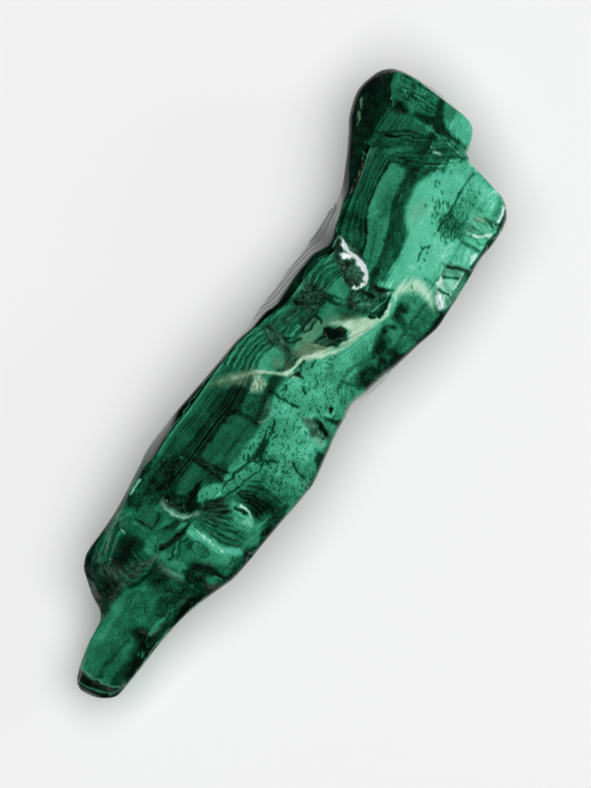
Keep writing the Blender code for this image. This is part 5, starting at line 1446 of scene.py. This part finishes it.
def paint_big_hollow(paint):
    """The deep hollow near the ridge: a rough dark floor in a broken crescent of a wall, painted white as
    a reflection.
    """
    floor = (
        (40, 8.8), (37.4, 8.6), (35.4, 7.4), (34, 5.8), (32.8, 4), (31.6, 2), (30.9, 0.4), (31.8, -1.4),
        (33.6, -2.1), (35.6, -1.6), (37.4, 0.2), (38.4, 2), (39.4, 5),
    )
    paint.patch(0.26, 1, floor, earth=0.4, grain=1.2)
    paint.strokes(floor, 90, 50, 1, (0.03, 0.54), 0.17, cover=0.85, earth=0.45)
    paint.patch(
        0.1, 1, ((33.4, 4.4), (36.6, 7.6), (38.4, 8.4), (35.6, 7.4), (33, 3.4), (31.6, 1), (32, 0.6)),
        earth=0.3)
    paint.patch(
        0.34, 1, ((33.4, 2.6), (35, 3.8), (36.2, 2.6), (35.4, 0.6), (34, -0.2), (33.2, 1)), earth=0.35,
        grain=1.5)
    paint.strokes(
        ((33.2, 3), (36.2, 3.4), (35.6, 0), (33.4, 0)), 22, 55, 0.7, (0.06, 0.6), 0.13, earth=0.3)
    # A painted reflection: the broken crescent of the wall is white where it mirrors the light.
    paint.patch(1.25, 0.8, (
        (40, 8.5), (39, 7.6), (38.2, 7.4), (37.4, 6.2), (36.6, 6.8), (36, 5.8), (36.5, 5), (36.4, 4.2),
        (37.3, 3.8), (37, 2.9), (36.3, 2.4), (36.6, 1.4), (35.9, 0.6), (35.5, -0.4), (34.4, -0.5),
        (34, -1.1), (33.2, -0.4), (32.4, -0.7), (32.2, 0.3), (31.3, 0.2), (31.8, -0.9), (33.4, -1.9),
        (35.2, -1.6), (36.8, -0.4), (37.7, 1.4), (38.2, 3.4), (38.5, 5.4), (39.2, 6.8),
    ), earth=1, grain=0.4)
    paint.strokes(
        ((38.2, 7.4), (36.2, 6), (36.6, 4.4), (38.4, 5)), 9, 70, 0.8, (0.3, 0.8), 0.14, earth=0.4)
    paint.strokes(
        ((36.4, 4.2), (38.2, 4.2), (37.2, 1), (35.2, -0.8), (35.6, 0.8)), 7, 60, 0.7, (0.5, 0.85), 0.12,
        cover=0.6, earth=0.5)
    paint.strokes(
        ((32, 0.4), (31.8, -1.2), (34, -1.9), (34.6, -0.6)), 8, 30, 0.5, (0.1, 0.5), 0.12, earth=0.4)
    paint.patch(0.22, 0.7, ((36.9, 8.2), (38, 7.4), (37.2, 6.7), (36.4, 7.4)), earth=0.3)
    paint.line(0.7, 0.16, 0.5, ((39.6, 8.7), (38.6, 9), (37.2, 8.8)), earth=0.5)
    paint.line(0.8, 0.2, 0.6, ((38.9, 5.6), (38.8, 4)), cover=0.6)


def paint_dark_side(paint):
    """The narrow view of the dark side: black green, a painted highlight along the ridge, a pale fleck,
    and rust at its ridge.
    """
    rim = [(x, y + 0.8) for x, y in BAND_LINES[0][1] if x > -18]
    paint.patch(0, 1.2, (*rim, (82, 30), (-16, 30)), bands=1, lines=0.25, cover=0.9)
    ridge = np.array((
        (-26, 19.6), (-20, 19.2), (-15, 18.9), (-9, 18.6), (-5, 18), (-1, 17.4), (4, 17.2),
    ))
    paint.line(0.02, 0.55, 0.5, ridge + (0, 0.75))
    # A painted highlight along the ridge.
    paint.line(0.8, 0.06, 0.3, ridge[1:], earth=0.3)
    paint.strokes(
        ((62.4, 17.2), (65.2, 19.4), (70, 20.9), (69.6, 20.3), (65.6, 18.7)), 30, 26, 0.9, (0.4, 0.9),
        0.13, sand=0.9)
    paint.strokes(
        ((50, 12.2), (58.4, 13.8), (58, 12.8), (50.4, 11.6)), 24, 12, 0.6, (0.16, 0.34), 0.14, cover=0.6,
        rust=0.7)
    paint.strokes(
        ((49, 12.2), (60, 14.3), (60, 13.2), (49, 11.6)), 26, 14, 0.6, (0.3, 0.85), 0.1, cover=0.7,
        earth=0.6)
    paint.line(0.5, 0.2, 0.8, ((59.4, 13.2), (61.6, 12.6), (58, 11.9)), cover=0.6, sand=0.4)
    paint.strokes(
        ((18, 14.8), (45, 13.2), (46, 12), (38, 9.6), (28, 12), (20, 13.6)), 60, -14, 3.4, (0.02, 0.2),
        0.18, cover=0.6)


# Fillings of cracks and pits: their tones, their share of the carved width, and their softness.
CRACK_TONE = 0.15
CRACK_FILL = 0.75
PIT_TONE = 0.34
PIT_FILL = 0.7
FILL_SOFT = 0.4


def paint_cracks_and_pits(paint):
    """Dark fillings of the cracks and of the seeded pits."""
    for half_width, _, points in CRACKS:
        paint.line(CRACK_TONE, half_width * CRACK_FILL, FILL_SOFT, points, cover=0.9)
    for points, half_width in pit_lines():
        paint.line(PIT_TONE, half_width * PIT_FILL, FILL_SOFT, points, cover=0.8)


FRONT_PAINTERS = (
    paint_finger, paint_lobes, paint_knuckle, paint_dome, paint_lip, paint_strip,
    paint_speckled_zone, paint_lower_edge, paint_chips, paint_dark_bands, paint_light_zone,
    paint_notched_edge, paint_streaks, paint_cut_end, paint_arcs, paint_streaked_rim, paint_dent,
    paint_block, paint_vein, paint_deep_pit, paint_facets, paint_big_hollow, paint_dark_side,
    paint_cracks_and_pits,
)
# The front face's marks fade out past its edges, by how far upward the surface looks.
MARKS_FADE = (-0.02, 0.16)
# What the banding of the sides and the back keeps of the grain and of the fine lines.
HIDDEN_GRAIN = 0.5
HIDDEN_LINES = 0.15
# Growth depth that each millimetre down a side adds, on the light side, or takes away.
SIDE_DEPTH = 0.45
SIDE_ROUNDING = 5
# How much of the bands' bends is lost on the front face.
FRONT_CALM = 0.85
# Random fields, each with its strength, size and seed: they bend the bands, mottle the tone
# and bend the streaks.
BAND_BENDS = ((0.5, 9, 5), (0.12, 3, 6))
MOTTLING = ((0.7, 3, 7), (0.5, 1.2, 8))
STREAK_BENDS = ((0.12, 2.4, 9),)


def stone_marks(smooth, up, places):
    """The values that the material reads at each point."""
    paint = Paint(places)
    for painter in FRONT_PAINTERS:
        painter(paint)
    marks = paint.coats

    calm = seen(smooth[..., :2])
    depth = growth_depth(calm[..., 0], calm[..., 1])
    crown = smooth_curve(CROWN_HEIGHT, stations())[:, None]
    middle = (smooth[..., 1].max(axis=1) + smooth[..., 1].min(axis=1))[:, None] / 2
    side = np.tanh((middle - smooth[..., 1]) / SIDE_ROUNDING)
    below = np.maximum(crown - smooth[..., 2], 0)
    front = fade(up, *MARKS_FADE)
    bend = mixed(smooth, BAND_BENDS)
    depth += side * below * SIDE_DEPTH + bend * (1 - FRONT_CALM * front)

    marks["tone"] += MOTTLE * marks["grain"] * mixed(places, MOTTLING)
    for coat in marks.values():
        coat *= front
    marks["bands"] += 1 - front
    marks["grain"] += (1 - front) * HIDDEN_GRAIN
    marks["lines"] += (1 - front) * HIDDEN_LINES
    marks["across"] = paint.across + mixed(places, STREAK_BENDS)
    marks["hidden"] = 1 - front
    marks["depth"] = depth
    return marks


def add_object(name, data):
    """A new object in the scene."""
    piece = bpy.data.objects.new(name, data)
    bpy.context.scene.collection.objects.link(piece)
    return piece


def make_stone(grid, marks):
    """A sphere whose points are moved to the grid: its poles become the stone's two ends."""
    shape = bmesh.new()
    bmesh.ops.create_uvsphere(shape, u_segments=SEGMENTS, v_segments=RINGS, radius=1)
    mesh = bpy.data.meshes.new(SKIN)
    shape.to_mesh(mesh)
    shape.free()
    sphere = np.empty(len(mesh.vertices) * 3, np.float32)
    mesh.vertices.foreach_get("co", sphere)
    x, y, z = sphere.reshape(-1, 3).T.astype(float)
    latitude = np.arctan2(z, np.hypot(x, y))
    ring = np.rint((0.5 - latitude / np.pi) * RINGS).astype(int)
    segment = np.rint(np.arctan2(y, x) / (2 * np.pi) * SEGMENTS).astype(int) % SEGMENTS
    mesh.vertices.foreach_set("co", (grid[ring, segment] * MM).ravel())
    for name, values in marks.items():
        layer = mesh.attributes.new(name, "FLOAT", "POINT")
        layer.data.foreach_set("value", values[ring, segment])
    lay_out_map(mesh, ring, segment)
    mesh.shade_smooth()
    mesh.update()
    return add_object(SKIN, mesh)


def lay_out_map(mesh, ring, segment):
    """A map of the skin: its two halves along the stone as two strips, the back at their rims."""
    corners = np.empty(len(mesh.loops), np.int32)
    mesh.loops.foreach_get("vertex_index", corners)
    sizes = np.empty(len(mesh.polygons), np.int32)
    mesh.polygons.foreach_get("loop_total", sizes)
    starts = np.concatenate([[0], np.cumsum(sizes)[:-1]])
    face = np.repeat(np.arange(len(sizes)), sizes)

    # A face that closes the ring has its last column's points at the far rim of the map.
    along, around = ring[corners].astype(float), segment[corners].astype(float)
    at_pole = (along == 0) | (along == RINGS)
    furthest = np.maximum.reduceat(np.where(at_pole, 0, around), starts)[face]
    around[(furthest == SEGMENTS - 1) & (around == 0)] = SEGMENTS
    in_face = np.add.reduceat(np.where(at_pole, 0, around), starts)[face] / 2
    around = np.where(at_pole, in_face, around)

    second = (np.add.reduceat(along, starts) / sizes)[face] > RINGS / 2
    across = along / (RINGS / 2) - second
    upward = (around / SEGMENTS) * MAP_STRIP + second * (1 - MAP_STRIP)
    layer = mesh.uv_layers.new(name="OFBake")
    layer.data.foreach_set("uv", np.stack([across, upward], axis=1).ravel())


def linear(*colour):
    """A colour seen on a screen, 0 to 255, as the shader's own linear values."""
    parts = [part / 255 for part in colour]
    parts = [p / 12.92 if p <= 0.04045 else ((p + 0.055) / 1.055) ** 2.4 for p in parts]
    return (*parts, 1.0)


class Nodes:
    """Shader nodes of one tree, each added and fed in one call."""

    def __init__(self, tree):
        self.tree = tree

    def feed(self, socket, value):
        """Sets a socket to a number or a colour, or links it to another node's output."""
        if isinstance(value, (int, float, tuple)):
            socket.default_value = value
        else:
            self.tree.links.new(value, socket)

    def add(self, kind, output, settings=(), **inputs):
        """A node with its settings and inputs, told by name, where _ stands for a space."""
        node = self.tree.nodes.new(kind)
        for name, value in dict(settings).items():
            setattr(node, name, value)
        for name, value in inputs.items():
            self.feed(node.inputs[name.replace("_", " ")], value)
        return node.outputs[output]

    def mark(self, name):
        """A value that the mesh holds at each point."""
        return self.add("ShaderNodeAttribute", "Fac", {"attribute_name": name})

    def calculate(self, operation, *values, clamp=False):
        """A sum, a product or a comparison of values."""
        node = self.tree.nodes.new("ShaderNodeMath")
        node.operation = operation
        node.use_clamp = clamp
        for socket, value in zip(node.inputs, values):
            self.feed(socket, value)
        return node.outputs["Value"]

    def ramp(self, value, colours):
        """Colours told by places from 0 to 1, the first at 0 and the last at 1."""
        node = self.tree.nodes.new("ShaderNodeValToRGB")
        elements = node.color_ramp.elements
        elements[0].color, elements[1].color = colours[0][1], colours[-1][1]
        for place, colour in colours[1:-1]:
            elements.new(place).color = colour
        self.feed(node.inputs["Fac"], value)
        return node.outputs["Color"]

    def mix(self, share, first, second):
        """From the first colour to the second, by a share."""
        kind = {"data_type": "RGBA"}
        return self.add("ShaderNodeMix", "Result", kind, Factor=share, A=first, B=second)

    def noise(self, scale, detail, place):
        """Noise around 0 in space."""
        field = self.add("ShaderNodeTexNoise", "Fac", Vector=place, Scale=scale, Detail=detail)
        return self.calculate("SUBTRACT", field, 0.5)

    def noise_along(self, scale, detail, value):
        """Noise around 0 along one value."""
        kind = {"noise_dimensions": "1D"}
        field = self.add("ShaderNodeTexNoise", "Fac", kind, W=value, Scale=scale, Detail=detail)
        return self.calculate("SUBTRACT", field, 0.5)


# Colours by tone: the green of the stone, the beige of its vein, and its grey and brown rough
# patches, which end in white. That white also paints the glints and reflections of the polish.
GREEN = (
    (0, (2, 9, 6)), (0.09, (5, 20, 14)), (0.27, (12, 60, 41)), (0.45, (25, 101, 71)),
    (0.64, (51, 143, 108)), (0.82, (78, 182, 147)), (0.92, (98, 204, 169)), (1, (160, 230, 206)),
)
SAND = (
    (0, (14, 18, 12)), (0.3, (60, 70, 52)), (0.6, (100, 132, 104)), (0.75, (140, 165, 135)),
    (0.9, (168, 198, 168)), (1, (190, 222, 194)),
)
EARTH_AND_GLINT = (
    (0, (8, 14, 11)), (0.2, (34, 52, 43)), (0.45, (84, 106, 93)), (0.7, (146, 168, 157)),
    (1, (246, 252, 255)),
)
RUST = (96, 40, 36)
# Each noise's scale and detail. The first three run along growth depth or across streaks.
BAND_NOISE = (1.3, 3.0)
LINE_NOISE = (3.2, 1.0)
STREAK_NOISE = (1.9, 2.0)
BREAK_NOISE = (500, 1.0)
GRAIN_NOISE = (1900, 2.5)
CLUSTER_NOISE = (420, 2.0)
# How much the bands' noise swings the tone on the front face, what it gains on the rest of
# the stone, and how much lighter the bands are there.
BAND_SWING = 0.16
HIDDEN_SWING = 0.9
HIDDEN_LIFT = 0.12
# How strongly the other noises act on the tone.
LINE_STRENGTH = 0.6
BREAK_STRENGTH = 2.4
GRAIN_STRENGTH = 0.5
# Dark dots: how many cells a metre, their radius in a cell, their flattening along X, where
# the noise lets them cluster, and how they change the tone.
DOT_CELLS = 1800
DOT_RADIUS = 0.32
DOT_STRETCH = (0.5, 1.0, 1.0)
DOT_CLUSTERS = -0.03
DOT_TONE = -0.36
POLISH = 0.1
EARTH_AND_GLINT_ROUGHNESS = 0.18
GRAIN_ROUGHNESS = 0.15
REFRACTION = 1.5
BUMP_STRENGTH = 0.25
BUMP_HEIGHT = 0.0001


def banded_tone(net):
    """The tone of the bands and of what is laid over them."""
    depth, hidden = net.mark("depth"), net.mark("hidden")
    low, high = BAND_TONES[0][0], BAND_TONES[-1][0]
    share = net.calculate("DIVIDE", net.calculate("SUBTRACT", depth, low), high - low, clamp=True)
    stops = [((at - low) / (high - low), (tone, tone, tone, 1)) for at, tone in BAND_TONES]
    swing = net.calculate("MULTIPLY_ADD", hidden, HIDDEN_SWING, BAND_SWING)
    noise = net.noise_along(*BAND_NOISE, depth)
    banding = net.calculate("MULTIPLY_ADD", noise, swing, net.ramp(share, stops))
    banding = net.calculate("MULTIPLY_ADD", hidden, HIDDEN_LIFT, banding)
    tone = net.calculate("MULTIPLY_ADD", banding, net.mark("bands"), net.mark("tone"))
    lines = net.calculate("MULTIPLY", net.noise_along(*LINE_NOISE, depth), net.mark("lines"))
    return net.calculate("MULTIPLY_ADD", lines, LINE_STRENGTH, tone)


def dots(net, where):
    """1 in small dark dots, which come in clusters."""
    stretch = net.tree.nodes.new("ShaderNodeVectorMath")
    stretch.operation = "MULTIPLY"
    net.feed(stretch.inputs[0], where)
    net.feed(stretch.inputs[1], DOT_STRETCH)
    place = stretch.outputs["Vector"]
    middle = net.add("ShaderNodeTexVoronoi", "Distance", Vector=place, Scale=DOT_CELLS)
    near = net.calculate("LESS_THAN", middle, DOT_RADIUS)
    clusters = net.calculate("GREATER_THAN", net.noise(*CLUSTER_NOISE, where), DOT_CLUSTERS)
    return net.calculate("MULTIPLY", near, clusters)


def stone_tone(net, grain):
    """The tone of the stone with its streaks, grain and dots."""
    where = net.add("ShaderNodeTexCoord", "Object")
    tone = banded_tone(net)
    across = net.noise_along(*STREAK_NOISE, net.mark("across"))
    streaks = net.calculate("MULTIPLY", across, net.mark("streaks"))
    gaps = net.noise(*BREAK_NOISE, where)
    broken = net.calculate("MULTIPLY_ADD", gaps, BREAK_STRENGTH, 1.0, clamp=True)
    tone = net.calculate("MULTIPLY_ADD", streaks, broken, tone)
    tone = net.calculate("MULTIPLY_ADD", grain, GRAIN_STRENGTH, tone)
    speckle = net.calculate("MULTIPLY", dots(net, where), net.mark("speckle"))
    tone = net.calculate("MULTIPLY_ADD", speckle, DOT_TONE, tone)
    return net.calculate("MAXIMUM", tone, 0.0, clamp=True)


def malachite_material():
    """Banded, glossy malachite, with rougher brown and grey patches."""
    material = bpy.data.materials.new("polished_malachite")
    material.use_nodes = True
    net = Nodes(material.node_tree)
    where = net.add("ShaderNodeTexCoord", "Object")
    grain = net.calculate("MULTIPLY", net.noise(*GRAIN_NOISE, where), net.mark("grain"))
    tone = stone_tone(net, grain)
    green, sand, earth = (
        net.ramp(tone, [(at, linear(*colour)) for at, colour in colours])
        for colours in (GREEN, SAND, EARTH_AND_GLINT)
    )
    colour = net.mix(net.mark("sand"), green, sand)
    # The grey and brown patches, and the white of the painted glints and reflections.
    colour = net.mix(net.mark("earth"), colour, earth)
    colour = net.mix(net.mark("rust"), colour, linear(*RUST))
    rough = net.calculate("MULTIPLY_ADD", net.mark("earth"), EARTH_AND_GLINT_ROUGHNESS, POLISH)
    size = net.calculate("ABSOLUTE", grain)
    rough = net.calculate("MULTIPLY_ADD", size, GRAIN_ROUGHNESS, rough)
    bump = net.add(
        "ShaderNodeBump", "Normal", Strength=BUMP_STRENGTH, Distance=BUMP_HEIGHT, Height=grain)
    shader = material.node_tree.nodes["Principled BSDF"]
    for socket, value in (("Base Color", colour), ("Roughness", rough), ("IOR", REFRACTION),
                          ("Normal", bump)):
        net.feed(shader.inputs[socket], value)
    return material


# The picture: its long side at the height of the front face, its middle, and how the stone's
# +X is turned from the picture's right.
PICTURE_LENGTH = 0.1801
PICTURE_MIDDLE = Vector((0.00362, -0.00115, 0.022))
STONE_TURN = math.radians(59)
CAMERA_DISTANCE = 3
CAMERA_REACH = 10
SENSOR = 36


def make_camera():
    """The camera looks straight down at the stone, turned as the picture shows it."""
    data = bpy.data.cameras.new("camera")
    data.sensor_width = SENSOR
    data.lens = SENSOR * CAMERA_DISTANCE / PICTURE_LENGTH
    data.clip_end = CAMERA_REACH
    camera = add_object("camera", data)
    camera.location = PICTURE_MIDDLE + Vector((0, 0, CAMERA_DISTANCE))
    camera.rotation_euler = (0, 0, -STONE_TURN)
    bpy.context.scene.camera = camera


FLOOR_HALF = 1.5
FLOOR_COLOUR = (0.95, 0.95, 0.95, 1.0)
FLOOR_ROUGHNESS = 0.9
FLOOR_GLOSS = 0.1


def make_floor():
    """A plain pale floor."""
    shape = bmesh.new()
    bmesh.ops.create_grid(shape, x_segments=1, y_segments=1, size=FLOOR_HALF)
    mesh = bpy.data.meshes.new("floor")
    shape.to_mesh(mesh)
    shape.free()
    material = bpy.data.materials.new("pale_floor")
    material.use_nodes = True
    shader = material.node_tree.nodes["Principled BSDF"]
    shader.inputs["Base Color"].default_value = FLOOR_COLOUR
    shader.inputs["Roughness"].default_value = FLOOR_ROUGHNESS
    shader.inputs["Specular IOR Level"].default_value = FLOOR_GLOSS
    mesh.materials.append(material)
    add_object("floor", mesh)


# Square lamps: name, metres right and up in the picture and above the floor, size, power, and
# whether the polish mirrors them. They look at one place.
LAMPS = (
    ("overhead", (0.12, 0.1, 2.0), 2.2, 48.5, False),
    ("window_left", (-0.9, -0.2, 0.45), 0.3, 0.08, True),
    ("window_right", (0.9, 0.2, 0.42), 0.2, 0.6, True),
)
LAMPS_LOOK_AT = Vector((0, 0, 0.01))


def make_lamp(name, seen_place, size, power, mirrored):
    """A soft square lamp that looks at the stone and may be kept out of its polish."""
    data = bpy.data.lights.new(name, "AREA")
    data.size = size
    data.energy = power
    lamp = add_object(name, data)
    right, up, height = seen_place
    turn = Matrix.Rotation(-STONE_TURN, 3, "Z")
    lamp.location = turn @ Vector((right, up, 0)) + Vector((0, 0, height))
    lamp.visible_glossy = mirrored
    lamp.rotation_euler = (lamp.location - LAMPS_LOOK_AT).to_track_quat("Z", "Y").to_euler()


# The room's light fades along these directions: axis, where it is full, where it is least, and
# what is left there.
ROOM_FADES = (("Z", 0.1, 0.5, 0.04), ("Y", 0.0, 0.5, 0.1))
ROOM_STRENGTH = 0.5
ROOM_COLOUR = (0.95, 0.98, 1.0, 1.0)


def make_world():
    """A pale room, dark overhead and to the dark side, so that the polish shows deep green."""
    world = bpy.data.worlds.new("room")
    world.use_nodes = True
    net = Nodes(world.node_tree)
    toward = net.add("ShaderNodeTexCoord", "Generated")
    strength = ROOM_STRENGTH
    for axis, full, least, left in ROOM_FADES:
        along = net.add("ShaderNodeSeparateXYZ", axis, Vector=toward)
        fading = net.add(
            "ShaderNodeMapRange", "Result", Value=along, From_Min=full, From_Max=least,
            To_Min=1.0, To_Max=left)
        strength = net.calculate("MULTIPLY", fading, strength)
    background = world.node_tree.nodes["Background"]
    net.feed(background.inputs["Color"], ROOM_COLOUR)
    net.feed(background.inputs["Strength"], strength)
    bpy.context.scene.world = world


make_camera()
make_floor()
for lamp in LAMPS:
    make_lamp(*lamp)
make_world()
surface, smooth, up, places = stone_surface()
marks = stone_marks(smooth, up, places)
lowest, highest = surface.min(axis=(0, 1)), surface.max(axis=(0, 1))
surface[..., :2] -= (lowest + highest)[:2] / 2
stone = make_stone(surface, marks)
stone.data.materials.append(malachite_material())
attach(stone, "root")
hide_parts(NODE)
bpy.context.scene.view_settings.view_transform = "Standard"
